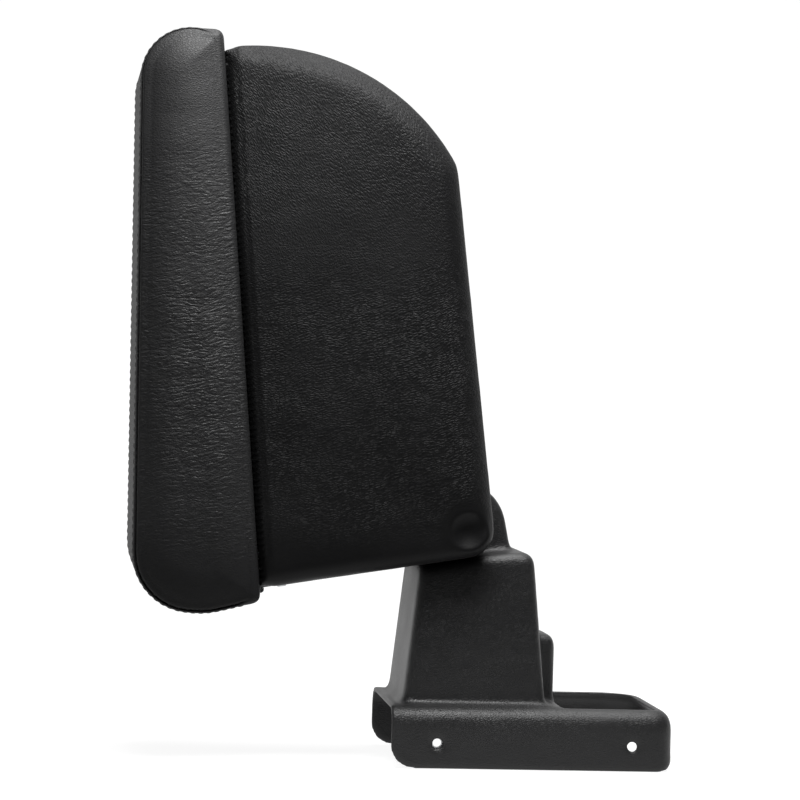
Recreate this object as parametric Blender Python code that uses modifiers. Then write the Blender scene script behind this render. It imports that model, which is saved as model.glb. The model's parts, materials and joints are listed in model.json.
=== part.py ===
"""Car armrest: a padded lid on a storage box that folds down from the base on its console.

Metres, +Z up, +X towards the front of the car, +Y to its left. The origin lies on the middle
plane, level with the lower edges of the base and directly below the pivot. The arm is raised.
"""
import math

import bmesh
import bpy
from mathutils import Matrix, Vector

# Clearances
GAP = 0.0003
SWING_GAP = 0.0010
BORE_GAP = 0.0003

# Base shell
SHEET = 0.0025
BASE_REAR = -0.0355
BASE_FRONT = 0.1085
BASE_HALF_WIDTH = 0.0500
BASE_HEIGHT = 0.0310
BASE_TOP_RADIUS = 0.0085
NEAR_CORNER_RADIUS = 0.0100
FAR_CORNER_RADIUS = 0.0250
REAR_FOOT_RADIUS = 0.0120
FRONT_FOOT_RADIUS = 0.0060
SCREW_HOLE_RADIUS = 0.0022
SCREW_HOLE_HEIGHT = 0.0125
SCREW_HOLE_REAR = -0.0120
SCREW_HOLE_PITCH = 0.0990
FAR_HOLE_PITCH = 0.0560
FAR_RISE = 0.0060
FAR_RISE_START = -0.0220
FAR_RISE_LENGTH = 0.0120
FAR_RISE_WIDTH = 0.0880
ROOF_OPENING_RIM = 0.0090
SEAM = 0.0005
LOBE_FRONT = 0.0515
LOBE_TOP = 0.0660
LOBE_HALF_WIDTH = 0.0190
LOBE_RADIUS = 0.0050

# Riser and lug, measured from the pivot
PIVOT_HEIGHT = 0.1193
RISER_FRONT = 0.0353
RISER_REAR = 0.0198
RISER_DRAFT = math.radians(5.9)
RISER_HALF_WIDTH = 0.0380
RISER_EDGE_RADIUS = 0.0045
SHOULDER_START = 0.0240
SHOULDER_RADIUS = 0.0055
LUG_RADIUS = 0.0236
LUG_FLARE = math.radians(11.5)
LUG_HALF_WIDTH = 0.0240
LUG_EDGE_RADIUS = 0.0030
LUG_FOOT = 0.0300

# Storage box, measured from the pivot
WALL = 0.0030
BOX_HALF_WIDTH = 0.0560
BOX_EDGE_RADIUS = 0.0080
PIVOT_WALL = 0.0138
RIM_DISTANCE = 0.1059
RIM_TILT = math.radians(5.4)
UNDERSIDE_TILT = math.radians(7.47)
REAR_TILT = math.radians(9.5)
NOSE_TOP = 0.2390
NOSE_FRONT = 0.0050
NOSE_RADIUS = 0.1130
NOSE_CORNER_RADIUS = 0.0120
REBATE_WIDTH = 0.0060
REBATE_DEPTH = 0.0010
SLOT_SIDE_GAP = 0.0025
SLOT_END_GAP = 0.0059
DISH_RADIUS = 0.0097
DISH_FLOOR_RADIUS = 0.0075
DISH_DEPTH = 0.0028
DISH_BOSS_RADIUS = 0.0115
DISH_BOSS_DEPTH = 0.0030

# Liner
LINER_SHEET = 0.0015
LINER_DROP = 0.0022
LINER_SLOPE = math.radians(145)
LINER_CLEARANCE = 0.0039

# Pivot
AXLE_RADIUS = 0.0040
SLEEVE_RADIUS = 0.0070
BRACKET_SHEET = 0.0020
BRACKET_RADIUS = 0.0170
BRACKET_FOOT_HALF = 0.0200
BRACKET_TAB_FOOT = 0.0075
WASHER_RADIUS = 0.0105
WASHER_THICKNESS = 0.0016
SPACER_RADIUS = 0.0085
PLATE_SHEET = 0.0025
PLATE_LENGTH = 0.0420
PLATE_TOP_WIDTH = 0.0085
PLATE_FLANGE_START = 0.0160
PLATE_FLANGE_WIDTH = 0.0095
PLATE_SCREWS = (0.0220, 0.0355)
BOLT_HEAD_RADIUS = 0.0075
BOLT_HEAD_HEIGHT = 0.0053
NUT_HEIGHT = 0.0065
BOLT_END = 0.0015
BOLT_CLEARANCE = 0.0012

# Lid, measured along the rim from its rear end and outwards from the rim
LID_HALF_WIDTH = 0.0600
LID_EDGE_RADIUS = 0.0030
LID_REAR_OVERHANG = 0.0060
LID_FRONT_OVERHANG = 0.0080
LID_REAR_DEPTH = 0.0644
LID_FRONT_DEPTH = 0.0403
LID_REAR_LEAN = 0.0016
LID_FRONT_LEAN = 0.0056
LID_BULGE_DEPTH = 0.0278
LID_BULGE = 0.0042
LID_TOP_REAR_RADIUS = 0.0300
LID_TOP_FRONT_RADIUS = 0.0250
LID_BULGE_RADIUS = 0.0400
LID_FOOT_RADIUS = 0.0040
COVER_THICKNESS = 0.0015
COVER_LIP = 0.0160
BOARD_THICKNESS = 0.0060
LINING_THICKNESS = 0.0011

# Hinge and latch of the lid
BARREL_RADIUS = 0.0018
BARREL_OUT = 0.0022
PIN_RADIUS = 0.0008
LEAF_SHEET = 0.0012
LEAF_LENGTH = 0.0200
LEAF_HALF_WIDTH = 0.0245
KNUCKLE_HALF_WIDTH = 0.0080
HINGE_SCREW_Y = 0.0165
HINGE_SCREW_PLACE = 0.0130
LID_SCREW_PLACE = 0.0150
SMALL_SHANK_RADIUS = 0.0013
SMALL_HEAD_RADIUS = 0.0026
SMALL_HEAD_HEIGHT = 0.0011
SMALL_HEAD_TOP_RADIUS = 0.0021
SCREW_END = 0.0015
PLATE_SHANK_RADIUS = 0.0019
PLATE_HEAD_RADIUS = 0.0037
STRIKE_HALF_WIDTH = 0.0210
STRIKE_LENGTH = 0.0120
STRIKE_SCREW_Y = 0.0170
MAGNET_AIR_GAP = 0.0005
MAGNET_HALF_WIDTH = 0.0100
MAGNET_LENGTH = 0.0060
MAGNET_DEPTH = 0.0040
HOLDER_WALL = 0.0025
HOLDER_DEPTH = 0.0120
HOLDER_INSET = 0.0006

# Fineness of curves, and reach of cutters and of the marks on the joints
CHORD_ERROR = 0.0001
ROUND_STEPS = 4
CUT_MARGIN = 0.0020
BEYOND_RIM = 0.0100
BEYOND = 0.3000
JOINT_MARK = 0.0200


# Points and lines in a plane
def direction(angle):
    return Vector((math.cos(angle), math.sin(angle)))


def line_crossing(normal_a, distance_a, normal_b, distance_b):
    """Point where two lines cross, each given by its unit normal and distance from zero."""
    turn = normal_a.x * normal_b.y - normal_a.y * normal_b.x
    across = (distance_a * normal_b.y - distance_b * normal_a.y) / turn
    up = (normal_a.x * distance_b - normal_b.x * distance_a) / turn
    return Vector((across, up))


def circle_crossing(centre, radius, normal, distance, side):
    """Point where a line meets a circle; side picks one of the two, along the line."""
    offset = distance - centre.dot(normal)
    along = Vector((-normal.y, normal.x))
    half_chord = math.sqrt(radius ** 2 - offset ** 2)
    return centre + normal * offset + along * (side * half_chord)


def angle_of(vector):
    return math.atan2(vector.y, vector.x)


def arc(centre, radius, start, sweep):
    """Points on a circle from the start angle through the sweep, both ends included."""
    step = 2 * math.acos(1 - CHORD_ERROR / radius)
    steps = max(2, math.ceil(abs(sweep) / step))
    return [centre + direction(start + sweep * i / steps) * radius for i in range(steps + 1)]


def rounded_polygon(corners, inset=0.0):
    """Counterclockwise outline of (x, y, radius) corners, moved inwards by the inset."""
    places = [Vector((x, y)) for x, y, radius in corners]
    normals = []
    for i, place in enumerate(places):
        edge = (places[(i + 1) % len(places)] - place).normalized()
        normals.append(Vector((edge.y, -edge.x)))
    outline = []
    for i, place in enumerate(places):
        before, after = normals[i - 1], normals[i]
        reach_before = place.dot(before) - inset
        reach_after = place.dot(after) - inset
        turn = before.x * after.y - before.y * after.x
        radius = corners[i][2] - inset
        if corners[i][2] == 0.0 or radius <= GAP:
            outline.append(line_crossing(before, reach_before, after, reach_after))
            continue
        centre = line_crossing(before, reach_before - radius, after, reach_after - radius)
        sweep = math.atan2(turn, before.dot(after))
        outline += arc(centre, radius, angle_of(before), sweep)
    return outline


# Collections, materials and solids
def clear_scene():
    for old in list(bpy.data.objects):
        bpy.data.objects.remove(old, do_unlink=True)


def new_collection(name):
    collection = bpy.data.collections.new(name)
    bpy.context.scene.collection.children.link(collection)
    return collection


def new_material(name, colour, roughness, metallic=0.0):
    material = bpy.data.materials.new(name)
    material.use_nodes = True
    shader = material.node_tree.nodes["Principled BSDF"]
    shader.inputs["Base Color"].default_value = (*colour, 1.0)
    shader.inputs["Roughness"].default_value = roughness
    shader.inputs["Metallic"].default_value = metallic
    return material


def new_object(name, mesh):
    made = bpy.data.objects.new(name, mesh)
    bpy.context.scene.collection.objects.link(made)
    return made


def object_from_bmesh(name, bm, matrix=None):
    if matrix is not None:
        bm.transform(matrix)
        if matrix.determinant() < 0:
            bmesh.ops.reverse_faces(bm, faces=bm.faces)
    mesh = bpy.data.meshes.new(name)
    bm.to_mesh(mesh)
    bm.free()
    return new_object(name, mesh)


def flat_solid(name, outline, half_depth, matrix):
    """Outline in a plane, filled and carried half_depth to both sides of it."""
    curve = bpy.data.curves.new(name, "CURVE")
    curve.dimensions = "2D"
    curve.fill_mode = "BOTH"
    curve.extrude = half_depth
    spline = curve.splines.new("POLY")
    spline.points.add(len(outline) - 1)
    for point, place in zip(spline.points, outline):
        point.co = (place[0], place[1], 0.0, 1.0)
    spline.use_cyclic_u = True
    carrier = new_object(name, curve)
    mesh = bpy.data.meshes.new_from_object(carrier.evaluated_get(bpy.context.evaluated_depsgraph_get()))
    bpy.data.objects.remove(carrier)
    bpy.data.curves.remove(curve)
    bm = bmesh.new()
    bm.from_mesh(mesh)
    bpy.data.meshes.remove(mesh)
    bmesh.ops.remove_doubles(bm, verts=bm.verts, dist=0.000005)
    bmesh.ops.dissolve_limit(bm, angle_limit=math.radians(0.1), verts=bm.verts, edges=bm.edges)
    bmesh.ops.recalc_face_normals(bm, faces=bm.faces)
    return object_from_bmesh(name, bm, matrix)


def side_solid(name, outline, half_width, middle=0.0):
    """Outline in X and Z from the pivot, carried half_width to both sides of Y = middle."""
    place = Matrix.Translation((0.0, middle, PIVOT_HEIGHT)) @ Matrix.Rotation(math.pi / 2, 4, "X")
    return flat_solid(name, outline, half_width, place)


def block(name, low, high, matrix=None):
    bm = bmesh.new()
    bmesh.ops.create_cube(bm, size=1.0)
    low, high = Vector(low), Vector(high)
    bmesh.ops.scale(bm, vec=high - low, verts=bm.verts)
    bmesh.ops.translate(bm, vec=(low + high) / 2, verts=bm.verts)
    return object_from_bmesh(name, bm, matrix)


def rounded_block(name, low, high, radius):
    """Block with its upper and front edges rounded."""
    solid = block(name, low, high)
    bm = bmesh.new()
    bm.from_mesh(solid.data)
    bm.normal_update()
    chosen = []
    for edge in bm.edges:
        normals = [face.normal for face in edge.link_faces]
        if all(normal.z > -0.5 and normal.x > -0.5 for normal in normals):
            chosen.append(edge)
    bmesh.ops.bevel(
        bm, geom=chosen, offset=radius, segments=ROUND_STEPS, profile=0.5, affect="EDGES"
    )
    bm.to_mesh(solid.data)
    bm.free()
    return solid


def cylinder(name, radius, start, end, sides=24, end_radius=None):
    """Cylinder or cone between two points."""
    start, end = Vector(start), Vector(end)
    bm = bmesh.new()
    bmesh.ops.create_cone(
        bm,
        cap_ends=True,
        segments=sides,
        radius1=radius,
        radius2=radius if end_radius is None else end_radius,
        depth=(end - start).length,
    )
    turn = Vector((0.0, 0.0, 1.0)).rotation_difference(end - start).to_matrix().to_4x4()
    return object_from_bmesh(name, bm, Matrix.Translation((start + end) / 2) @ turn)


def across(name, radius, low_y, high_y, sides=24, end_radius=None):
    """Cylinder on the pivot's axis."""
    start = (0.0, low_y, PIVOT_HEIGHT)
    return cylinder(name, radius, start, (0.0, high_y, PIVOT_HEIGHT), sides, end_radius)


def turned(name, profile, closed, steps=24):
    """Profile of (radius, height) points turned about Z, its outer side running down."""
    edges = [(i, i + 1) for i in range(len(profile) - 1)]
    if closed:
        edges.append((len(profile) - 1, 0))
    mesh = bpy.data.meshes.new(name)
    mesh.from_pydata([(radius, 0.0, height) for radius, height in profile], edges, [])
    made = new_object(name, mesh)
    screw = made.modifiers.new("turn", "SCREW")
    screw.steps = steps
    screw.render_steps = steps
    screw.use_merge_vertices = True
    screw.merge_threshold = 0.00001
    return made


def copies(name, pattern, places):
    """Objects that share the pattern's mesh, one at each place, numbered from 1."""
    apply_modifiers(pattern)
    shape = pattern.data
    bpy.data.objects.remove(pattern)
    made = []
    for number, place in enumerate(places, start=1):
        copy = new_object(f"{name}_{number}", shape)
        copy.matrix_basis = place
        made.append(copy)
    return made


def round_cap_edges(solid, axis, radius, both=True, leave=None):
    """Round the edges between the flat ends on one axis and the sides, except at the face
    whose normal is given by leave."""
    bm = bmesh.new()
    bm.from_mesh(solid.data)
    bm.normal_update()
    chosen = []
    for edge in bm.edges:
        faces = list(edge.link_faces)
        ends = [face for face in faces if abs(face.normal[axis]) > 0.999]
        sides = [face for face in faces if abs(face.normal[axis]) < 0.5]
        if len(ends) != 1 or len(sides) != 1:
            continue
        if not both and ends[0].normal[axis] < 0:
            continue
        if leave is not None and sides[0].normal.dot(leave) > 0.9999:
            continue
        chosen.append(edge)
    bmesh.ops.bevel(
        bm,
        geom=chosen,
        offset=radius,
        offset_type="OFFSET",
        segments=ROUND_STEPS,
        profile=0.5,
        affect="EDGES",
        clamp_overlap=False,
    )
    bmesh.ops.remove_doubles(bm, verts=bm.verts, dist=0.000005)
    bm.to_mesh(solid.data)
    bm.free()
    return solid


def apply_modifiers(solid):
    graph = bpy.context.evaluated_depsgraph_get()
    mesh = bpy.data.meshes.new_from_object(solid.evaluated_get(graph))
    before = solid.data
    solid.modifiers.clear()
    solid.data = mesh
    bpy.data.meshes.remove(before)


def combine(target, tool, operation):
    """Boolean of the target with a tool, which is used up."""
    step = target.modifiers.new(tool.name, "BOOLEAN")
    step.operation = operation
    step.object = tool
    step.solver = "EXACT"
    apply_modifiers(target)
    bpy.data.objects.remove(tool)


def add(target, tool):
    combine(target, tool, "UNION")


def cut(target, tool):
    combine(target, tool, "DIFFERENCE")


def keep(target, tool):
    combine(target, tool, "INTERSECT")


# Reference lines, frames and sizes that follow from the driving dimensions
NOSE_CENTRE = Vector((NOSE_FRONT - NOSE_RADIUS, NOSE_TOP - NOSE_RADIUS))
RIM_NORMAL = direction(math.pi + RIM_TILT)
REAR_NORMAL = direction(REAR_TILT - math.pi / 2)
UNDERSIDE_NORMAL = direction(UNDERSIDE_TILT)
REAR_CORNER = line_crossing(RIM_NORMAL, RIM_DISTANCE, REAR_NORMAL, PIVOT_WALL)
FRONT_CORNER = circle_crossing(NOSE_CENTRE, NOSE_RADIUS, RIM_NORMAL, RIM_DISTANCE, -1)
RIM_LENGTH = (FRONT_CORNER - REAR_CORNER).length
RIM_ALONG = (FRONT_CORNER - REAR_CORNER).normalized()
UNDERSIDE_ALONG = Vector((-UNDERSIDE_NORMAL.y, UNDERSIDE_NORMAL.x))
WALL_ALONG = Vector((-REAR_NORMAL.y, REAR_NORMAL.x))


def frame_matrix(origin, along, outward):
    """Frame at a point of the middle plane: X along, Y as the world's, Z outward."""
    columns = (
        (along.x, 0.0, along.y, 0.0),
        (0.0, 1.0, 0.0, 0.0),
        (outward.x, 0.0, outward.y, 0.0),
        (origin.x, 0.0, PIVOT_HEIGHT + origin.y, 1.0),
    )
    return Matrix(columns).transposed()


# Along the rim from its rear end, outwards to the lid
RIM_FRAME = frame_matrix(REAR_CORNER, RIM_ALONG, RIM_NORMAL)
# Along the box's underside from the pivot's foot, outwards
UNDERSIDE_FRAME = frame_matrix(UNDERSIDE_NORMAL * PIVOT_WALL, UNDERSIDE_ALONG, UNDERSIDE_NORMAL)
# Along the box's rear wall from the rim, outwards
REAR_FRAME = frame_matrix(REAR_CORNER, WALL_ALONG, REAR_NORMAL)

SLOT_HALF_WIDTH = LUG_HALF_WIDTH + SLOT_SIDE_GAP
SLOT_RADIUS = LUG_RADIUS + SLOT_END_GAP
CAVITY_HALF_WIDTH = BOX_HALF_WIDTH - WALL
CAVITY_EDGE_RADIUS = BOX_EDGE_RADIUS - WALL
BOLT_REACH = CAVITY_HALF_WIDTH - DISH_BOSS_DEPTH - BOLT_CLEARANCE
PLATE_END = BOLT_REACH - BOLT_END - NUT_HEIGHT - GAP
PLATE_START = PLATE_END - PLATE_SHEET
WASHER_START = LUG_HALF_WIDTH + GAP
SPACER_START = WASHER_START + WASHER_THICKNESS + GAP
SPACER_END = PLATE_START - GAP
AXLE_HOLE_RADIUS = AXLE_RADIUS + BORE_GAP
SLEEVE_HOLE_RADIUS = SLEEVE_RADIUS + BORE_GAP
LINER_INSET = WALL + GAP
LINER_DISTANCE = LUG_RADIUS + LINER_CLEARANCE
BARREL_CENTRE = (-BARREL_OUT, -BARREL_RADIUS)
BARREL_HOLE_RADIUS = PIN_RADIUS + BORE_GAP
BARREL_CLEAR = BARREL_RADIUS + GAP
COVER_START = GAP
CORE_INSET = COVER_THICKNESS + GAP
BOARD_START = COVER_START + CORE_INSET
FOAM_START = BOARD_START + BOARD_THICKNESS + GAP
LINING_START = BOARD_START - GAP - LINING_THICKNESS
PLATE_SCREW_LENGTH = WALL + 2 * GAP + PLATE_SHEET + SCREW_END
BOX_SCREW_LENGTH = GAP + LEAF_SHEET + GAP + WALL - GAP
LID_SCREW_LENGTH = GAP + LEAF_SHEET + FOAM_START - SCREW_END


# Outlines
def box_outline(inset=0.0, beyond_rim=0.0):
    """Side outline of the storage box, moved inwards by the inset, except at the rim, which
    moves outwards by beyond_rim."""
    rim = RIM_DISTANCE + beyond_rim
    corner_radius = PIVOT_WALL - inset
    nose_radius = NOSE_RADIUS - inset
    fillet = NOSE_CORNER_RADIUS - inset
    rear = line_crossing(RIM_NORMAL, rim, REAR_NORMAL, corner_radius)
    front = circle_crossing(NOSE_CENTRE, nose_radius, RIM_NORMAL, rim, -1)
    fillet_centre = circle_crossing(
        NOSE_CENTRE, nose_radius - fillet, UNDERSIDE_NORMAL, corner_radius - fillet, 1
    )
    nose_start = angle_of(front - NOSE_CENTRE)
    nose_end = angle_of(fillet_centre - NOSE_CENTRE)
    outline = [rear]
    outline += arc(NOSE_CENTRE, nose_radius, nose_start, nose_end - nose_start)
    outline += arc(fillet_centre, fillet, nose_end, UNDERSIDE_TILT - nose_end)[1:]
    corner_sweep = REAR_TILT - math.pi / 2 - UNDERSIDE_TILT
    outline += arc(Vector((0.0, 0.0)), corner_radius, UNDERSIDE_TILT, corner_sweep)
    return outline


def riser_outline(inset, foot):
    """Side outline of the riser: its drafted faces, its shoulder, the seat that the lowered box
    rests on, and the saddle that the box's corner swings over."""
    front_normal = direction(RISER_DRAFT)
    rear_normal = direction(math.pi - RISER_DRAFT)
    down = direction(-math.pi / 2)
    seat_normal = direction(UNDERSIDE_TILT - math.pi / 2)
    front_reach = RISER_FRONT * math.cos(RISER_DRAFT) - inset
    rear_reach = RISER_REAR * math.cos(RISER_DRAFT) - inset
    seat_reach = PIVOT_WALL + GAP + inset
    saddle_radius = PIVOT_WALL + SWING_GAP + inset
    seat_level = (PIVOT_WALL + GAP - SHOULDER_START * seat_normal.x) / -seat_normal.y
    shoulder = seat_level + inset
    corners = [
        (*line_crossing(rear_normal, rear_reach, down, foot), 0.0),
        (*line_crossing(front_normal, front_reach, down, foot), 0.0),
        (*line_crossing(front_normal, front_reach, down, shoulder), SHOULDER_RADIUS - inset),
        (*line_crossing(seat_normal, seat_reach, down, shoulder), 0.0),
    ]
    outline = rounded_polygon(corners)
    rise = math.acos(seat_reach / saddle_radius)
    saddle_start = angle_of(seat_normal) + rise
    outline += arc(Vector((0.0, 0.0)), saddle_radius, saddle_start, angle_of(REAR_NORMAL) - saddle_start)
    outline.append(line_crossing(REAR_NORMAL, saddle_radius, rear_normal, rear_reach))
    return outline


def lug_outline(inset, foot):
    """Side outline of the lug around the pivot, with its flared front."""
    radius = LUG_RADIUS - inset
    flare_normal = direction(LUG_FLARE)
    seat_normal = direction(UNDERSIDE_TILT - math.pi / 2)
    seat_level = (PIVOT_WALL + GAP - SHOULDER_START * seat_normal.x) / -seat_normal.y
    rear_reach = math.sqrt(LUG_RADIUS ** 2 - seat_level ** 2) - inset
    down = direction(-math.pi / 2)
    rear = direction(math.pi)
    end = math.pi + math.acos(rear_reach / radius)
    outline = [line_crossing(rear, rear_reach, down, foot)]
    outline.append(line_crossing(flare_normal, radius, down, foot))
    outline += arc(Vector((0.0, 0.0)), radius, LUG_FLARE, end - LUG_FLARE)
    return outline


def base_outline(inset, rear, front=BASE_FRONT):
    """Plan outline of the base, with its small near corner and its large far one."""
    corners = [
        (rear, -BASE_HALF_WIDTH, 0.0),
        (front, -BASE_HALF_WIDTH, NEAR_CORNER_RADIUS),
        (front, BASE_HALF_WIDTH, FAR_CORNER_RADIUS),
        (rear, BASE_HALF_WIDTH, 0.0),
    ]
    return rounded_polygon(corners, inset)


def lid_outline(inset):
    """Side outline of the lid, worked out along the rim and given from the pivot."""
    rear = -LID_REAR_OVERHANG
    front = RIM_LENGTH + LID_FRONT_OVERHANG
    corners = [
        (rear, COVER_START, LID_FOOT_RADIUS),
        (front, COVER_START, LID_FOOT_RADIUS),
        (front + LID_FRONT_LEAN, LID_FRONT_DEPTH, LID_TOP_FRONT_RADIUS),
        (rear + LID_REAR_LEAN, LID_REAR_DEPTH, LID_TOP_REAR_RADIUS),
        (rear - LID_BULGE, LID_BULGE_DEPTH, LID_BULGE_RADIUS),
    ]
    return [REAR_CORNER + RIM_ALONG * u + RIM_NORMAL * n for u, n in rounded_polygon(corners, inset)]


def foot_cutter(name, corner_x, inward, radius):
    """What rounds the lower corner of the base's sides off, at one end of them."""
    centre = Vector((corner_x + inward * radius, radius - PIVOT_HEIGHT))
    outline = [Vector((corner_x - inward * CUT_MARGIN, -CUT_MARGIN - PIVOT_HEIGHT))]
    outline.append(Vector((centre.x, -CUT_MARGIN - PIVOT_HEIGHT)))
    outline += arc(centre, radius, -math.pi / 2, -inward * math.pi / 2)
    outline.append(Vector((corner_x - inward * CUT_MARGIN, centre.y)))
    return side_solid(name, outline, BASE_HALF_WIDTH + CUT_MARGIN)


# Base
def make_base_shell():
    flat = Matrix.Translation((0.0, 0.0, BASE_HEIGHT / 2))
    to_rear = Vector((-1.0, 0.0, 0.0))
    roof_foot = PIVOT_HEIGHT - BASE_HEIGHT + SHEET / 2
    shell = flat_solid("base_shell", base_outline(0.0, BASE_REAR), BASE_HEIGHT / 2, flat)
    round_cap_edges(shell, 2, BASE_TOP_RADIUS, both=False, leave=to_rear)
    riser = side_solid("riser", riser_outline(0.0, roof_foot), RISER_HALF_WIDTH)
    add(shell, round_cap_edges(riser, 1, RISER_EDGE_RADIUS))
    lug = side_solid("lug", lug_outline(0.0, LUG_FOOT), LUG_HALF_WIDTH)
    add(shell, round_cap_edges(lug, 1, LUG_EDGE_RADIUS))
    low = (RISER_REAR, -LOBE_HALF_WIDTH, BASE_HEIGHT - SHEET / 2)
    add(shell, rounded_block("lobe", low, (LOBE_FRONT, LOBE_HALF_WIDTH, LOBE_TOP), LOBE_RADIUS))

    inner_height = BASE_HEIGHT - SHEET + CUT_MARGIN
    flat = Matrix.Translation((0.0, 0.0, inner_height / 2 - CUT_MARGIN))
    inside = base_outline(SHEET, BASE_REAR - SHEET - CUT_MARGIN)
    tray = flat_solid("tray_inside", inside, inner_height / 2, flat)
    cut(shell, round_cap_edges(tray, 2, BASE_TOP_RADIUS - SHEET, both=False, leave=to_rear))
    inner_foot = PIVOT_HEIGHT - BASE_HEIGHT + SHEET + CUT_MARGIN
    riser = side_solid("riser_inside", riser_outline(SHEET, inner_foot), RISER_HALF_WIDTH - SHEET)
    cut(shell, round_cap_edges(riser, 1, RISER_EDGE_RADIUS - SHEET))
    lug = side_solid("lug_inside", lug_outline(SHEET, LUG_FOOT), LUG_HALF_WIDTH - SHEET)
    cut(shell, lug)
    low = (RISER_REAR, SHEET - LOBE_HALF_WIDTH, BASE_HEIGHT - SHEET - CUT_MARGIN)
    high = (LOBE_FRONT - SHEET, LOBE_HALF_WIDTH - SHEET, LOBE_TOP - SHEET)
    cut(shell, rounded_block("lobe_inside", low, high, LOBE_RADIUS - SHEET))

    opening_rear = LOBE_FRONT + SEAM - ROOF_OPENING_RIM
    level = Matrix.Translation((0.0, 0.0, BASE_HEIGHT))
    opening = base_outline(ROOF_OPENING_RIM, opening_rear)
    cut(shell, flat_solid("roof_opening", opening, SHEET + CUT_MARGIN, level))
    foot, rise = -PIVOT_HEIGHT - CUT_MARGIN, FAR_RISE - PIVOT_HEIGHT
    front = BASE_FRONT + CUT_MARGIN
    slope_end = FAR_RISE_START + FAR_RISE_LENGTH
    raised = [Vector(point) for point in ((FAR_RISE_START, foot), (front, foot), (front, rise), (slope_end, rise))]
    middle = BASE_HALF_WIDTH + CUT_MARGIN - FAR_RISE_WIDTH / 2
    cut(shell, side_solid("far_rise", raised, FAR_RISE_WIDTH / 2, middle))
    cut(shell, foot_cutter("rear_foot", BASE_REAR, 1, REAR_FOOT_RADIUS))
    cut(shell, foot_cutter("front_foot", BASE_FRONT, -1, FRONT_FOOT_RADIUS))
    near = (-BASE_HALF_WIDTH - CUT_MARGIN, 0.0)
    far = (0.0, BASE_HALF_WIDTH + CUT_MARGIN)
    front_hole = SCREW_HOLE_REAR + SCREW_HOLE_PITCH
    far_hole = SCREW_HOLE_REAR + FAR_HOLE_PITCH
    holes = ((SCREW_HOLE_REAR, near), (front_hole, near), (SCREW_HOLE_REAR, far), (far_hole, far))
    for x, (low_y, high_y) in holes:
        start = (x, low_y, SCREW_HOLE_HEIGHT)
        cut(shell, cylinder("screw_hole", SCREW_HOLE_RADIUS, start, (x, high_y, SCREW_HOLE_HEIGHT)))
    cut(shell, across("sleeve_hole", SLEEVE_HOLE_RADIUS, -RISER_HALF_WIDTH, RISER_HALF_WIDTH))
    return shell


def make_bracket(name, side):
    """Folded strap: an ear in the lug, a foot under the roof and a tab inside the flange."""
    ear_y = LUG_HALF_WIDTH - SHEET - GAP - BRACKET_SHEET / 2
    tab_y = BASE_HALF_WIDTH - SHEET - GAP - BRACKET_SHEET / 2
    fold_y = BASE_HALF_WIDTH - BASE_TOP_RADIUS - BRACKET_SHEET / 2
    foot_z = BASE_HEIGHT - SHEET - GAP - BRACKET_SHEET / 2
    profile = [
        (ear_y, PIVOT_HEIGHT + BRACKET_RADIUS + CUT_MARGIN),
        (ear_y, foot_z),
        (fold_y, foot_z),
        (tab_y, foot_z - (tab_y - fold_y)),
        (tab_y, BRACKET_TAB_FOOT),
    ]
    half = BRACKET_FOOT_HALF + CUT_MARGIN
    corners = [(x, side * y, z) for x in (-half, half) for y, z in profile]
    count = len(profile)
    faces = [(i, i + 1, i + 1 + count, i + count) for i in range(count - 1)]
    mesh = bpy.data.meshes.new(name)
    mesh.from_pydata(corners, [], faces)
    strap = new_object(name, mesh)
    thicken = strap.modifiers.new("sheet", "SOLIDIFY")
    thicken.thickness = BRACKET_SHEET
    thicken.offset = 0.0
    thicken.use_even_offset = True
    apply_modifiers(strap)
    foot = Vector((BRACKET_FOOT_HALF, foot_z - PIVOT_HEIGHT))
    tangent = angle_of(foot) + math.acos(BRACKET_RADIUS / foot.length)
    outline = [Vector((-foot.x, -PIVOT_HEIGHT)), Vector((foot.x, -PIVOT_HEIGHT)), foot]
    outline += arc(Vector((0.0, 0.0)), BRACKET_RADIUS, tangent, math.pi - 2 * tangent)
    outline.append(Vector((-foot.x, foot.y)))
    keep(strap, side_solid("bracket_outline", outline, BASE_HALF_WIDTH))
    cut(strap, across("sleeve_hole", SLEEVE_HOLE_RADIUS, -RISER_HALF_WIDTH, RISER_HALF_WIDTH))
    start = (SCREW_HOLE_REAR, side * (tab_y - BRACKET_SHEET), SCREW_HOLE_HEIGHT)
    end = (SCREW_HOLE_REAR, side * (tab_y + BRACKET_SHEET), SCREW_HOLE_HEIGHT)
    cut(strap, cylinder("screw_hole", SCREW_HOLE_RADIUS, start, end))
    return strap


def ring_across(name, radius, hole_radius, low_y, high_y):
    """Ring or tube on the pivot's axis."""
    half = (high_y - low_y) / 2
    profile = [(radius, half), (radius, -half), (hole_radius, -half), (hole_radius, half)]
    ring = turned(name, profile, closed=True)
    apply_modifiers(ring)
    ring.rotation_euler = (math.pi / 2, 0.0, 0.0)
    ring.location = (0.0, (low_y + high_y) / 2, PIVOT_HEIGHT)
    return ring


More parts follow.
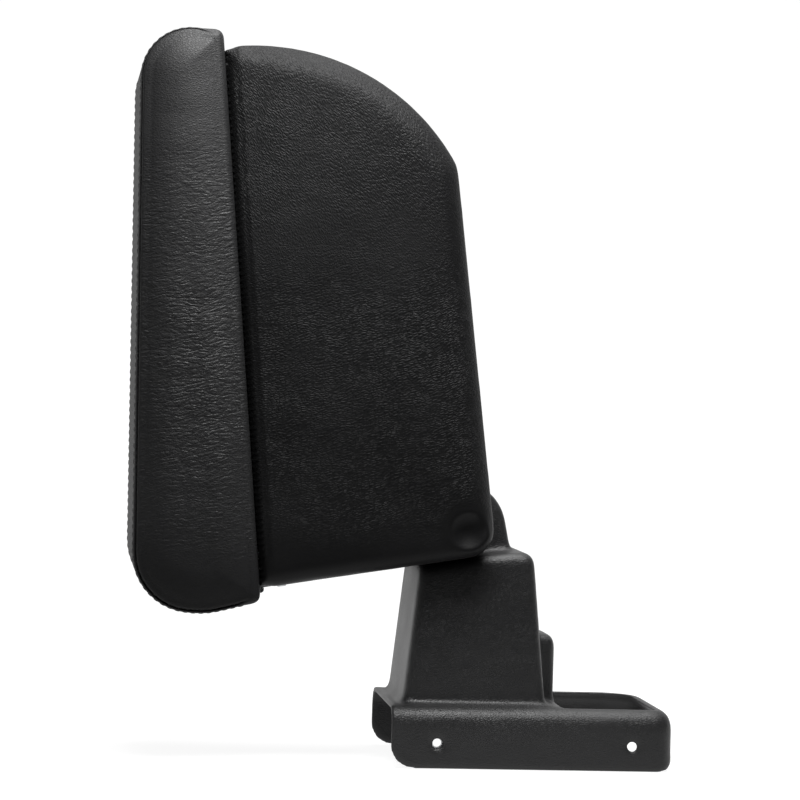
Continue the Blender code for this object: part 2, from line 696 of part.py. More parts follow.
# Storage box and what it holds
def make_storage_box():
    to_rim = Vector((RIM_NORMAL.x, 0.0, RIM_NORMAL.y))
    shell = side_solid("storage_box", box_outline(), BOX_HALF_WIDTH)
    round_cap_edges(shell, 1, BOX_EDGE_RADIUS, leave=to_rim)
    low = (-BEYOND, -BEYOND, -REBATE_WIDTH)
    rebate = block("rebate", low, (BEYOND, BEYOND, BEYOND), RIM_FRAME)
    band = side_solid("band", box_outline(REBATE_DEPTH, BEYOND_RIM), BOX_HALF_WIDTH - REBATE_DEPTH)
    cut(rebate, round_cap_edges(band, 1, BOX_EDGE_RADIUS - REBATE_DEPTH, leave=to_rim))
    cut(shell, rebate)
    cavity = side_solid("cavity", box_outline(WALL, BEYOND_RIM), CAVITY_HALF_WIDTH)
    cut(shell, round_cap_edges(cavity, 1, CAVITY_EDGE_RADIUS, leave=to_rim))
    slope = (DISH_RADIUS - DISH_FLOOR_RADIUS) / DISH_DEPTH
    for side in (-1, 1):
        boss_y = side * (CAVITY_HALF_WIDTH - DISH_BOSS_DEPTH)
        add(shell, across("boss", DISH_BOSS_RADIUS, boss_y, side * (CAVITY_HALF_WIDTH + GAP)))
        floor_y = side * (BOX_HALF_WIDTH - DISH_DEPTH)
        mouth_y = side * (BOX_HALF_WIDTH + CUT_MARGIN)
        mouth = DISH_RADIUS + slope * CUT_MARGIN
        cut(shell, across("dish", DISH_FLOOR_RADIUS, floor_y, mouth_y, 32, mouth))
    cut(shell, across("lug_slot", SLOT_RADIUS, -SLOT_HALF_WIDTH, SLOT_HALF_WIDTH, 48))
    notch_y = LEAF_HALF_WIDTH + SWING_GAP
    low = (-CUT_MARGIN, -notch_y, -LEAF_SHEET - GAP)
    cut(shell, block("hinge_notch", low, (WALL + CUT_MARGIN, notch_y, CUT_MARGIN), RIM_FRAME))
    for place in plate_screw_places():
        cut(shell, countersink("screw_seat", place))
    for side in (-1, 1):
        start = REAR_FRAME @ Vector((HINGE_SCREW_PLACE, side * HINGE_SCREW_Y, CUT_MARGIN))
        end = REAR_FRAME @ Vector((HINGE_SCREW_PLACE, side * HINGE_SCREW_Y, -WALL - CUT_MARGIN))
        cut(shell, cylinder("hinge_hole", SMALL_SHANK_RADIUS + BORE_GAP, start, end, 16))
    return shell


def slope_block(name, distance):
    """Everything closer to the pivot than the distance, measured square to the liner's slope."""
    frame = frame_matrix(Vector((0.0, 0.0)), direction(LINER_SLOPE - math.pi / 2), direction(LINER_SLOPE))
    return block(name, (-BEYOND, -BEYOND, -BEYOND), (BEYOND, BEYOND, distance), frame)


def make_liner():
    to_rim = Vector((RIM_NORMAL.x, 0.0, RIM_NORMAL.y))
    half = BOX_HALF_WIDTH - LINER_INSET
    tray = side_solid("storage_liner", box_outline(LINER_INSET), half)
    round_cap_edges(tray, 1, BOX_EDGE_RADIUS - LINER_INSET, leave=to_rim)
    cut(tray, slope_block("slope", LINER_DISTANCE))
    inset = LINER_INSET + LINER_SHEET
    hollow = side_solid("hollow", box_outline(inset, BEYOND_RIM), half - LINER_SHEET)
    round_cap_edges(hollow, 1, BOX_EDGE_RADIUS - inset, leave=to_rim)
    cut(hollow, slope_block("inner_slope", LINER_DISTANCE + LINER_SHEET))
    cut(tray, hollow)
    low = (-BEYOND, -BEYOND, -LINER_DROP)
    cut(tray, block("trim", low, (BEYOND, BEYOND, BEYOND), RIM_FRAME))
    return tray


def screw_place(seat, outward):
    """Frame of a screw at its seat, with Z out of its head."""
    turn = Vector((0.0, 0.0, 1.0)).rotation_difference(Vector((outward.x, 0.0, outward.y)))
    return Matrix.Translation(seat) @ turn.to_matrix().to_4x4()


def plate_screw_places():
    """Frames of the countersunk screws, on the underside's outer face and pointing out of it."""
    middle = PLATE_START - PLATE_FLANGE_WIDTH / 2
    return [
        screw_place(UNDERSIDE_FRAME @ Vector((along, side * middle, 0.0)), UNDERSIDE_NORMAL)
        for side in (-1, 1)
        for along in PLATE_SCREWS
    ]


def countersink(name, place):
    """Seat of one countersunk screw, with its through hole."""
    seat = PLATE_HEAD_RADIUS + BORE_GAP
    hole = PLATE_SHANK_RADIUS + BORE_GAP
    depth = seat - hole
    profile = [
        (0.0, CUT_MARGIN),
        (seat + CUT_MARGIN, CUT_MARGIN),
        (hole, -depth),
        (hole, -PLATE_SCREW_LENGTH - CUT_MARGIN),
        (0.0, -PLATE_SCREW_LENGTH - CUT_MARGIN),
    ]
    seat = turned(name, profile, closed=False, steps=20)
    apply_modifiers(seat)
    seat.data.transform(place)
    return seat


def make_plate(name, side):
    """Steel cheek around the bolt, with a flange along the box's underside."""
    reach = PIVOT_WALL - WALL - GAP
    foot = UNDERSIDE_NORMAL * reach
    top_front = foot + UNDERSIDE_ALONG * PLATE_LENGTH
    top_rear = top_front - UNDERSIDE_NORMAL * PLATE_TOP_WIDTH
    tangent = angle_of(top_rear) + math.acos(reach / top_rear.length)
    outline = [top_front, top_rear]
    outline += arc(Vector((0.0, 0.0)), reach, tangent, 2 * math.pi + UNDERSIDE_TILT - tangent)
    plate = side_solid(name, outline, PLATE_SHEET / 2, side * (PLATE_START + PLATE_SHEET / 2))
    ends = sorted((side * (PLATE_START - PLATE_FLANGE_WIDTH), side * (PLATE_START + PLATE_SHEET / 2)))
    low = (PLATE_FLANGE_START, ends[0], -WALL - 2 * GAP - PLATE_SHEET)
    high = (PLATE_LENGTH - SEAM, ends[1], -WALL - 2 * GAP)
    add(plate, block("flange", low, high, UNDERSIDE_FRAME))
    cut(plate, across("bolt_hole", AXLE_HOLE_RADIUS, -BOX_HALF_WIDTH, BOX_HALF_WIDTH))
    for place in plate_screw_places():
        if place.translation.y * side > 0:
            cut(plate, countersink("screw_hole", place))
    return plate


def make_plate_screws():
    profile = [
        (0.0, -GAP),
        (PLATE_HEAD_RADIUS - GAP, -GAP),
        (PLATE_SHANK_RADIUS, PLATE_SHANK_RADIUS - PLATE_HEAD_RADIUS),
        (PLATE_SHANK_RADIUS, -PLATE_SCREW_LENGTH),
        (0.0, -PLATE_SCREW_LENGTH),
    ]
    pattern = turned("pattern", profile, closed=False, steps=16)
    return copies("plate_screw", pattern, plate_screw_places())


def make_bolt():
    head_start = -PLATE_END - GAP - BOLT_HEAD_HEIGHT
    bolt = across("pivot_bolt", BOLT_HEAD_RADIUS, head_start, -PLATE_END - GAP, 6)
    add(bolt, across("shank", AXLE_RADIUS, head_start + BOLT_HEAD_HEIGHT / 2, BOLT_REACH))
    return bolt


def make_nut():
    start = PLATE_END + GAP
    nut = across("pivot_nut", BOLT_HEAD_RADIUS, start, start + NUT_HEIGHT, 6)
    cut(nut, across("thread", AXLE_HOLE_RADIUS, start - CUT_MARGIN, start + NUT_HEIGHT + CUT_MARGIN))
    return nut


# Hinge and latch
def rim_bar(name, radius, low_y, high_y, sides=20):
    """Cylinder on the lid's hinge axis."""
    u, n = BARREL_CENTRE
    start = RIM_FRAME @ Vector((u, low_y, n))
    return cylinder(name, radius, start, RIM_FRAME @ Vector((u, high_y, n)), sides)


def make_lid_leaf():
    low = (BARREL_CENTRE[0], -LEAF_HALF_WIDTH, -LEAF_SHEET)
    leaf = block("hinge_leaf_lid", low, (LEAF_LENGTH, LEAF_HALF_WIDTH, 0.0), RIM_FRAME)
    for side in (-1, 1):
        ends = sorted((side * KNUCKLE_HALF_WIDTH, side * (LEAF_HALF_WIDTH + CUT_MARGIN)))
        low = (BARREL_CENTRE[0] - CUT_MARGIN, ends[0], -LEAF_SHEET - CUT_MARGIN)
        high = (BARREL_CENTRE[0] + BARREL_CLEAR, ends[1], CUT_MARGIN)
        cut(leaf, block("side_notch", low, high, RIM_FRAME))
    reach = KNUCKLE_HALF_WIDTH - GAP / 2
    add(leaf, rim_bar("knuckle", BARREL_RADIUS, -reach, reach))
    cut(leaf, rim_bar("pin_hole", BARREL_HOLE_RADIUS, -BOX_HALF_WIDTH, BOX_HALF_WIDTH))
    for place in lid_screw_places(LID_SCREW_PLACE, HINGE_SCREW_Y):
        cut(leaf, screw_hole("leaf_hole", place))
    return leaf


def make_box_leaf():
    u, n = BARREL_CENTRE
    along = (RIM_ALONG * u + RIM_NORMAL * n).dot(WALL_ALONG)
    outer = GAP + LEAF_SHEET
    low = (along - PIN_RADIUS, -LEAF_HALF_WIDTH, GAP)
    leaf = block("hinge_leaf_box", low, (LEAF_LENGTH, LEAF_HALF_WIDTH, outer), REAR_FRAME)
    notch_y = KNUCKLE_HALF_WIDTH + GAP
    low = (along - BARREL_CLEAR, -notch_y, -CUT_MARGIN)
    high = (along + BARREL_CLEAR, notch_y, outer + CUT_MARGIN)
    cut(leaf, block("knuckle_notch", low, high, REAR_FRAME))
    for side in (-1, 1):
        ends = sorted((side * (notch_y + GAP), side * (LEAF_HALF_WIDTH - GAP)))
        add(leaf, rim_bar("knuckle", BARREL_RADIUS, *ends))
    cut(leaf, rim_bar("pin_hole", BARREL_HOLE_RADIUS, -BOX_HALF_WIDTH, BOX_HALF_WIDTH))
    for place in box_screw_places():
        cut(leaf, screw_hole("leaf_hole", place))
    return leaf


def box_screw_places():
    seat = GAP + LEAF_SHEET + GAP
    return [
        screw_place(REAR_FRAME @ Vector((HINGE_SCREW_PLACE, side * HINGE_SCREW_Y, seat)), REAR_NORMAL)
        for side in (-1, 1)
    ]


def lid_screw_places(along, y):
    """Frames of the screws under the lid, their heads pointing into the box."""
    return [
        screw_place(RIM_FRAME @ Vector((along, side * y, -LEAF_SHEET - GAP)), -RIM_NORMAL)
        for side in (-1, 1)
    ]


def screw_hole(name, place):
    radius = SMALL_SHANK_RADIUS + BORE_GAP
    start = place @ Vector((0.0, 0.0, CUT_MARGIN))
    return cylinder(name, radius, start, place @ Vector((0.0, 0.0, -LID_SCREW_LENGTH - GAP)), 16)


def make_screws(name, length, places):
    profile = [
        (0.0, SMALL_HEAD_HEIGHT),
        (SMALL_HEAD_TOP_RADIUS, SMALL_HEAD_HEIGHT),
        (SMALL_HEAD_RADIUS, SMALL_HEAD_HEIGHT / 2),
        (SMALL_HEAD_RADIUS, 0.0),
        (SMALL_SHANK_RADIUS, 0.0),
        (SMALL_SHANK_RADIUS, -length),
        (0.0, -length),
    ]
    return copies(name, turned("pattern", profile, closed=False, steps=14), places)


def latch_start():
    """Where the magnet's holder ends, along the rim: against the liner's front."""
    return RIM_LENGTH - LINER_INSET - LINER_SHEET - HOLDER_INSET


def make_holder():
    length = MAGNET_LENGTH + 2 * HOLDER_WALL
    half = MAGNET_HALF_WIDTH + HOLDER_WALL
    top = -LEAF_SHEET - MAGNET_AIR_GAP
    low = (latch_start() - length, -half, top - HOLDER_DEPTH)
    holder = block("magnet_holder", low, (latch_start(), half, top), RIM_FRAME)
    middle = latch_start() - length / 2
    reach = MAGNET_LENGTH / 2 + GAP
    low = (middle - reach, -MAGNET_HALF_WIDTH - GAP, top - MAGNET_DEPTH - GAP)
    high = (middle + reach, MAGNET_HALF_WIDTH + GAP, top + CUT_MARGIN)
    cut(holder, block("pocket", low, high, RIM_FRAME))
    return holder


def make_magnet():
    middle = latch_start() - MAGNET_LENGTH / 2 - HOLDER_WALL
    top = -LEAF_SHEET - MAGNET_AIR_GAP
    low = (middle - MAGNET_LENGTH / 2, -MAGNET_HALF_WIDTH, top - MAGNET_DEPTH)
    return block("latch_magnet", low, (middle + MAGNET_LENGTH / 2, MAGNET_HALF_WIDTH, top), RIM_FRAME)


def strike_middle():
    return latch_start() - MAGNET_LENGTH / 2 - HOLDER_WALL


def make_strike():
    low = (strike_middle() - STRIKE_LENGTH / 2, -STRIKE_HALF_WIDTH, -LEAF_SHEET)
    high = (strike_middle() + STRIKE_LENGTH / 2, STRIKE_HALF_WIDTH, 0.0)
    strike = block("strike_plate", low, high, RIM_FRAME)
    for place in lid_screw_places(strike_middle(), STRIKE_SCREW_Y):
        cut(strike, screw_hole("strike_hole", place))
    return strike


# Lid
def lid_form(name, inset):
    """The lid's rounded form, moved inwards by the inset."""
    from_rim = Vector((-RIM_NORMAL.x, 0.0, -RIM_NORMAL.y))
    form = side_solid(name, lid_outline(inset), LID_HALF_WIDTH - inset)
    return round_cap_edges(form, 1, LID_EDGE_RADIUS - inset, leave=from_rim)


def lip_block(name, inset, low_n, high_n):
    """What lies inside the lip of the cover, less the inset on each side."""
    start = COVER_LIP - LID_REAR_OVERHANG + inset
    end = RIM_LENGTH + LID_FRONT_OVERHANG - COVER_LIP - inset
    half = LID_HALF_WIDTH - COVER_LIP - inset
    return block(name, (start, -half, low_n), (end, half, high_n), RIM_FRAME)


def layer(name, low_n, high_n):
    """What of the lid's inside lies between two heights above the rim."""
    form = lid_form(name, CORE_INSET)
    keep(form, block("layer", (-BEYOND, -BEYOND, low_n), (2 * BEYOND, BEYOND, high_n), RIM_FRAME))
    return form


def make_cover():
    cover = lid_form("lid_cover", 0.0)
    cut(cover, lid_form("core", COVER_THICKNESS))
    cut(cover, lip_block("lip", 0.0, -CUT_MARGIN, COVER_START + COVER_THICKNESS + GAP))
    return cover


def drilled_for_lid_screws(piece):
    for place in lid_screw_places(LID_SCREW_PLACE, HINGE_SCREW_Y):
        cut(piece, screw_hole("hinge_screw_hole", place))
    for place in lid_screw_places(strike_middle(), STRIKE_SCREW_Y):
        cut(piece, screw_hole("strike_screw_hole", place))
    return piece


# Assembly
def finish(piece, material, parent, collection):
    """Materials, shading, parent and collection of one finished piece."""
    piece.data.materials.clear()
    piece.data.materials.append(material)
    piece.data.shade_smooth()
    piece.data.set_sharp_from_angle(angle=math.radians(30))
    for holder in list(piece.users_collection):
        holder.objects.unlink(piece)
    collection.objects.link(piece)
    if parent is not None:
        piece.parent = parent
        piece.matrix_parent_inverse = Matrix.Translation(-joint_places[parent.name])


def new_joint(name, place, parent, collection):
    """Empty on the axis of a joint, which carries the pieces that turn on it."""
    joint = bpy.data.objects.new(name, None)
    joint.empty_display_size = JOINT_MARK
    collection.objects.link(joint)
    joint.location = place
    joint_places[name] = Vector(place)
    if parent is not None:
        joint.parent = parent
        joint.matrix_parent_inverse = Matrix.Translation(-joint_places[parent.name])
    return joint


joint_places = {}


def main():
    clear_scene()
    collection = new_collection("car_armrest")
    shell_black = new_material("moulded_black", (0.020, 0.020, 0.021), 0.45)
    box_black = new_material("grained_black", (0.018, 0.018, 0.019), 0.50)
    leather = new_material("black_leather", (0.016, 0.016, 0.017), 0.48)
    lining = new_material("black_felt", (0.012, 0.012, 0.012), 0.95)
    foam = new_material("grey_foam", (0.200, 0.200, 0.190), 0.90)
    wood = new_material("plywood", (0.450, 0.320, 0.190), 0.70)
    steel = new_material("zinc_steel", (0.560, 0.570, 0.580), 0.35, 1.0)
    nylon = new_material("white_nylon", (0.700, 0.690, 0.640), 0.40)
    ferrite = new_material("ferrite", (0.050, 0.050, 0.055), 0.55)

    arm = new_joint("arm_pivot", (0.0, 0.0, PIVOT_HEIGHT), None, collection)
    hinge_place = RIM_FRAME @ Vector((BARREL_CENTRE[0], 0.0, BARREL_CENTRE[1]))
    lid = new_joint("lid_pivot", hinge_place, arm, collection)

    finish(make_base_shell(), shell_black, None, collection)
    sides = (("left", 1), ("right", -1))
    for word, side in sides:
        finish(make_bracket(f"pivot_bracket_{word}", side), steel, None, collection)
    sleeve = ring_across("pivot_sleeve", SLEEVE_RADIUS, AXLE_HOLE_RADIUS, -LUG_HALF_WIDTH, LUG_HALF_WIDTH)
    finish(sleeve, steel, None, collection)

    finish(make_storage_box(), box_black, arm, collection)
    finish(make_liner(), lining, arm, collection)
    for word, side in sides:
        finish(make_plate(f"pivot_plate_{word}", side), steel, arm, collection)
        ends = sorted((side * WASHER_START, side * (WASHER_START + WASHER_THICKNESS)))
        washer = ring_across(f"friction_washer_{word}", WASHER_RADIUS, AXLE_HOLE_RADIUS, *ends)
        finish(washer, nylon, arm, collection)
        ends = sorted((side * SPACER_START, side * SPACER_END))
        spacer = ring_across(f"pivot_spacer_{word}", SPACER_RADIUS, AXLE_HOLE_RADIUS, *ends)
        finish(spacer, steel, arm, collection)
    finish(make_bolt(), steel, arm, collection)
    finish(make_nut(), steel, arm, collection)
    for screw in make_plate_screws():
        finish(screw, steel, arm, collection)
    finish(make_box_leaf(), steel, arm, collection)
    for screw in make_screws("box_leaf_screw", BOX_SCREW_LENGTH, box_screw_places()):
        finish(screw, steel, arm, collection)
    finish(rim_bar("hinge_pin", PIN_RADIUS, -LEAF_HALF_WIDTH, LEAF_HALF_WIDTH, 16), steel, arm, collection)
    finish(make_holder(), shell_black, arm, collection)
    finish(make_magnet(), ferrite, arm, collection)

    finish(make_cover(), leather, lid, collection)
    finish(layer("lid_foam", FOAM_START, BEYOND), foam, lid, collection)
    board = layer("lid_board", BOARD_START, BOARD_START + BOARD_THICKNESS)
    finish(drilled_for_lid_screws(board), wood, lid, collection)
    sheet = lip_block("lid_lining", GAP, LINING_START, LINING_START + LINING_THICKNESS)
    finish(drilled_for_lid_screws(sheet), lining, lid, collection)
    finish(make_lid_leaf(), steel, lid, collection)
    lid_places = lid_screw_places(LID_SCREW_PLACE, HINGE_SCREW_Y)
    for screw in make_screws("lid_leaf_screw", LID_SCREW_LENGTH, lid_places):
        finish(screw, steel, lid, collection)
    finish(make_strike(), steel, lid, collection)
    strike_places = lid_screw_places(strike_middle(), STRIKE_SCREW_Y)
    for screw in make_screws("strike_screw", LID_SCREW_LENGTH, strike_places):
        finish(screw, steel, lid, collection)


main()
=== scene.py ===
"""Looks of the car armrest: its sewn leather lid, grained storage box, formed base and fittings.

Metres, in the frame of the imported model: +Z up, +X towards the front of the car.
"""
import json
import math

import bmesh
import bpy
import numpy as np
from mathutils import Matrix, Vector, geometry, noise


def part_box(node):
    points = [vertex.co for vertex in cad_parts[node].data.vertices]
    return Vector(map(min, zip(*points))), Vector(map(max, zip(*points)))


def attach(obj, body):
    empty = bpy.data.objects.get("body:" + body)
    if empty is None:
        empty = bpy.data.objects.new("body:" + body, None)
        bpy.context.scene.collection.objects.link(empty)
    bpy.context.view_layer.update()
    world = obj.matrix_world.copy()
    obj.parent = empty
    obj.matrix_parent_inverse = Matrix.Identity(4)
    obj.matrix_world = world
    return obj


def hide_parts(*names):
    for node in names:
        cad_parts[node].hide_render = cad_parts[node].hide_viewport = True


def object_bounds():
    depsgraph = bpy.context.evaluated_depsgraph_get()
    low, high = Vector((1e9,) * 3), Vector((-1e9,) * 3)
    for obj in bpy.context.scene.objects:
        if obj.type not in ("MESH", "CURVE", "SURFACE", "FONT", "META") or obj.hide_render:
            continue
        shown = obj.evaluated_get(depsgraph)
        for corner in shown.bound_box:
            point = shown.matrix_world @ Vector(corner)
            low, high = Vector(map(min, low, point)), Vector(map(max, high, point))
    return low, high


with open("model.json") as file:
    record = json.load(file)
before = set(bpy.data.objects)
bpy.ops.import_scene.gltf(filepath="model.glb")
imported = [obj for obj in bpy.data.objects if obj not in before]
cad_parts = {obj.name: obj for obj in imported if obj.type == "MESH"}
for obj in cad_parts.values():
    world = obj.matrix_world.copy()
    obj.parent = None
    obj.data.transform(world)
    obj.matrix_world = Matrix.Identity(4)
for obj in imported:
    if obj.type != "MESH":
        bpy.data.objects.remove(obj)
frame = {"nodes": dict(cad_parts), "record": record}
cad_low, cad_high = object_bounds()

JOINTS = frame["record"]["behaviour"]["joints"]
PIVOT = next(joint for joint in JOINTS if joint["name"] == "arm_tilt")["pos_m"]

# Camera, placed where the photograph was taken
CAMERA_AZIMUTH = math.radians(-6.25)
CAMERA_ELEVATION = math.radians(-0.6)
CAMERA_ROLL = math.radians(1.7)
CAMERA_LOCATION = Vector((-0.2062, -1.6028, 0.2003))
LENS = 140.8
SENSOR = 36.0

# Lid
RIM_TILT = math.radians(5.4)
LID_HALF_WIDTH = 0.0600
OUTLINE_STEP = 0.0008
OUTLINE_SOFTNESS = 0.0012
LIP_WIDTH = 0.0163
LIP_DEPTH = 0.0015
LIP_TOLERANCE = 0.0004
SEAM_FADE_START = 0.0040
SEAM_FADE_LENGTH = 0.0100
SEAM_INSET_TOP = 0.60
SEAM_INSET_BOTTOM = 1.20
WRAP_STEPS = 9
UNTANGLE_STEPS = 400
UNTANGLE_SHARE = 0.1
CHEEK_GRID = 0.0012
CHEEK_MARGIN = 0.6
CHEEK_EDGE = 0.0050
CHEEK_ROUND = 0.0040
CHEEK_CROWN = 0.0034
CHEEK_CROWN_REACH = 0.0165
NEAR_STRIDE = 3
NEAR_BATCH = 2000
MERGE_DISTANCE = 1e-7

# Folds in the leather: depth, and how fast they change across, from side to side and upwards
FOLD_DEPTH = 0.00045
WIDE_FOLDS = (22.0, 3.1, 26.0)
NARROW_FOLDS = (30.0, 7.7, 120.0)
NARROW_SHARE = 0.45

# Topstitch
PUCKER_DEPTH = 0.00007
PUCKER_REACH = 0.0022
STITCH_PITCH = 0.0040
STITCH_LENGTH = 0.0029
STITCH_RADIUS = 0.00022
STITCH_PLACE = 0.0050
STITCH_SIDES = 6
STITCH_STEPS = 6
STITCH_SINK = 0.8
STITCH_END = 0.45
SEWN_SHARE = 0.8

# Seam, from the middle of the wrap to the edge of the cheek: distance from the lid's side, and inset
# from the outline
SEAM_PROFILE = (
    (0.0100, 0.00000),
    (0.0085, 0.00000),
    (0.0072, 0.00000),
    (0.0062, 0.00004),
    (0.0054, 0.00012),
    (0.0047, 0.00012),
    (0.0040, 0.00008),
    (0.0033, 0.00022),
    (0.0027, 0.00048),
    (0.0023, 0.00085),
    (0.0024, 0.00118),
    (0.0031, 0.00135),
    (0.0031, 0.00150),
    (0.0022, 0.00165),
    (0.0014, 0.00190),
    (0.0009, 0.00235),
    (0.0005, 0.00320),
    (0.0002, 0.00500),
)

# Moulded shells
BASE_VOXEL = 0.00105
BOX_VOXEL = 0.00160
EVEN_OUT_STEPS = 20
EVEN_OUT_IN = 0.55
EVEN_OUT_OUT = -0.57
FILLET_STEPS = 26
FILLET_SHARE = 0.6
FREE_EDGE = 0.0040
ROOF_LEVEL = 0.0340
OPENING_SHARP = 0.0020
OPENING_SOFT = 0.0080
REBATE_WIDTH = 0.0060
REBATE_DEPTH = 0.0010
BOX_SOFT_DEPTH = 0.0300
BOX_SOFT_STEPS = 10
BOX_CROWN = 0.0012
CROWN_START = 0.0300
CROWN_FULL = 0.0520
BOX_EDGE = 0.0080
NOSE_EDGE = 0.0140
NOSE_FACING_LOW = 0.45
NOSE_FACING_HIGH = 0.85
DISH_RADIUS = 0.0098
DISH_DEPTH = 0.0011
DISH_RIM = 0.0005
DISH_RIM_WIDTH = 0.0016

# The two tones that each material's pattern runs between
BLACK_TONES = ((0.0070, 0.0070, 0.0073), (0.0110, 0.0110, 0.0114))
THREAD_TONES = ((0.006, 0.006, 0.006), (0.022, 0.022, 0.023))
FELT_TONES = ((0.007, 0.007, 0.0075), (0.020, 0.020, 0.021))
FOAM_TONES = ((0.10, 0.10, 0.095), (0.24, 0.24, 0.23))
WOOD_TONES = ((0.52, 0.38, 0.22), (0.26, 0.16, 0.08))
STEEL_TONES = ((0.42, 0.43, 0.44), (0.62, 0.63, 0.64))
NYLON_TONES = ((0.60, 0.59, 0.54), (0.74, 0.73, 0.68))
FERRITE_TONES = ((0.035, 0.035, 0.038), (0.075, 0.075, 0.080))

# Leather: sizes of its cells across, from side to side and upwards, depths and gloss
CREASE_TURN = (0.0, math.radians(-9), 0.0)
CREASE_CELL = (0.0085, 0.0085, 0.0024)
WRINKLE_CELL = (0.0036, 0.0036, 0.0015)
PORE_CELL = (0.0017, 0.0017, 0.0010)
CREASE_DEPTH = 0.00015
WRINKLE_DEPTH = 0.00009
PORE_DEPTH = 0.00005
DUST_DEPTH = 0.00004
DUST_SIZE = 0.0006
CREASES_START = 0.018
CREASES_FULL = 0.042
CREASES_FADE = 0.110
CREASES_END = 0.030
TOP_CREASES = 0.12
CHEEK_GLOSS = 0.30
WRAP_GLOSS = 0.06
FOOT_HEIGHT = 0.060
FOOT_GLOSS = 0.40
WRAP_FACING = 0.05
CHEEK_FACING = 0.45
PATCH_SIZE = 0.045
LEATHER_BEND = (0.014, 0.0050)
PORE_BEND = (0.004, 0.0016)
LEATHER_HAZE = 0.030
CELL_BORDER = 0.30
WRINKLE_BORDER = 0.28

# Moulded grain: size, depth, gloss and share of the black tones
BASE_GRAIN = (0.0011, 0.00007, 0.38, 1.0)
BOX_GRAIN = (0.0013, 0.00015, 0.13, 0.6)
GRAIN_STRETCH = (1.9, 1.2, 0.8)
RISING_TURN = (0.0, math.radians(-28), 0.0)
FALLING_TURN = (0.0, math.radians(52), 0.0)
GRAIN_TURN_LOW = 0.22
GRAIN_TURN_HIGH = 0.29
SMOOTH_BELOW = 0.098
GRAIN_ABOVE = 0.130
DISH_CLEARANCE = 1.9
LOW_GRAIN = 0.15
DISH_GRAIN = 0.10
GRAIN_BEND = (0.020, 0.0060)
GRAIN_PATCH = 0.035
GRAIN_HAZE = 0.050
GRAIN_DUST = 0.45

# Fittings: sizes of what their surfaces show
THREAD_TWISTS = 900.0
FELT_BEND = (0.002, 0.002)
FELT_FIBRE = (0.0006, 0.0002, 0.0004)
FOAM_PORE = (0.0012, 0.0012, 0.0012)
WOOD_RING = (0.0080, 0.0080, 0.0900)
WOOD_FIBRE = (0.0006, 0.0006, 0.0120)
STEEL_SPANGLE = 0.0050
STEEL_LINE = (0.0300, 0.0003, 0.0300)
NYLON_HAZE = 0.0030
FERRITE_GRIT = 0.0005

# Light
KEY_PLACE = (-0.02, -0.28, 0.56)
KEY_TARGET = (-0.07, -0.05, 0.26)
KEY_SIZE = (0.34, 0.16)
KEY_POWER = 4.0
TOP_PLACE = (0.10, -0.05, 1.25)
TOP_SIZE = (1.00, 0.80)
TOP_POWER = 16.0
SKY_UP = 0.30
SKY_SIDE = 0.03

# Floor and backdrop
FLOOR_FRONT = -0.20
FLOOR_GAP = 0.0006
FLOOR_TONE = 0.22
FLOOR_LIFT = 0.92
BACKDROP_PLACE = 1.6
BACKDROP_TOP = 4.0
BACKDROP_HALF_WIDTH = 4.0
BEND_RADIUS = 0.8
BEND_STEPS = 16


# Small helpers for meshes
def new_piece(name, mesh):
    piece = bpy.data.objects.new(name, mesh)
    bpy.context.scene.collection.objects.link(piece)
    return piece


def mesh_from(name, places, faces):
    mesh = bpy.data.meshes.new(name)
    mesh.from_pydata([tuple(place) for place in places], [], faces)
    mesh.update()
    return mesh


def places_of(mesh):
    places = np.empty(len(mesh.vertices) * 3)
    mesh.vertices.foreach_get("co", places)
    return places.reshape(-1, 3)


def set_places(mesh, places):
    mesh.vertices.foreach_set("co", places.ravel())
    mesh.update()


def smoothstep(low, high, value):
    share = np.clip((value - low) / (high - low), 0.0, 1.0)
    return share * share * (3.0 - 2.0 * share)


# Outline of the lid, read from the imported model
def convex_outline(points):
    """Corners of the convex outline of points in a plane, counterclockwise."""
    ordered = sorted({(round(x, 6), round(z, 6)) for x, z in points})

    def half(sequence):
        kept = []
        for point in sequence:
            while len(kept) > 1:
                (ax, az), (bx, bz) = kept[-2], kept[-1]
                if (bx - ax) * (point[1] - az) - (bz - az) * (point[0] - ax) > 0:
                    break
                kept.pop()
            kept.append(point)
        return kept[:-1]

    return np.array(half(ordered) + half(ordered[::-1]))


def resampled(corners, step):
    """Points at even steps along a closed outline."""
    closed = np.vstack([corners, corners[:1]])
    lengths = np.hypot(*np.diff(closed, axis=0).T)
    along = np.concatenate([[0.0], np.cumsum(lengths)])
    count = int(round(along[-1] / step))
    wanted = np.arange(count) * along[-1] / count
    return np.column_stack([np.interp(wanted, along, closed[:, k]) for k in range(2)]), along[-1]


def softened(points, width, step):
    """Closed outline averaged over a small width, which rounds its facets off."""
    reach = int(round(3 * width / step))
    offsets = np.arange(-reach, reach + 1)
    weights = np.exp(-0.5 * (offsets * step / width) ** 2)
    weights /= weights.sum()
    return sum(w * np.roll(points, -k, axis=0) for k, w in zip(offsets, weights))


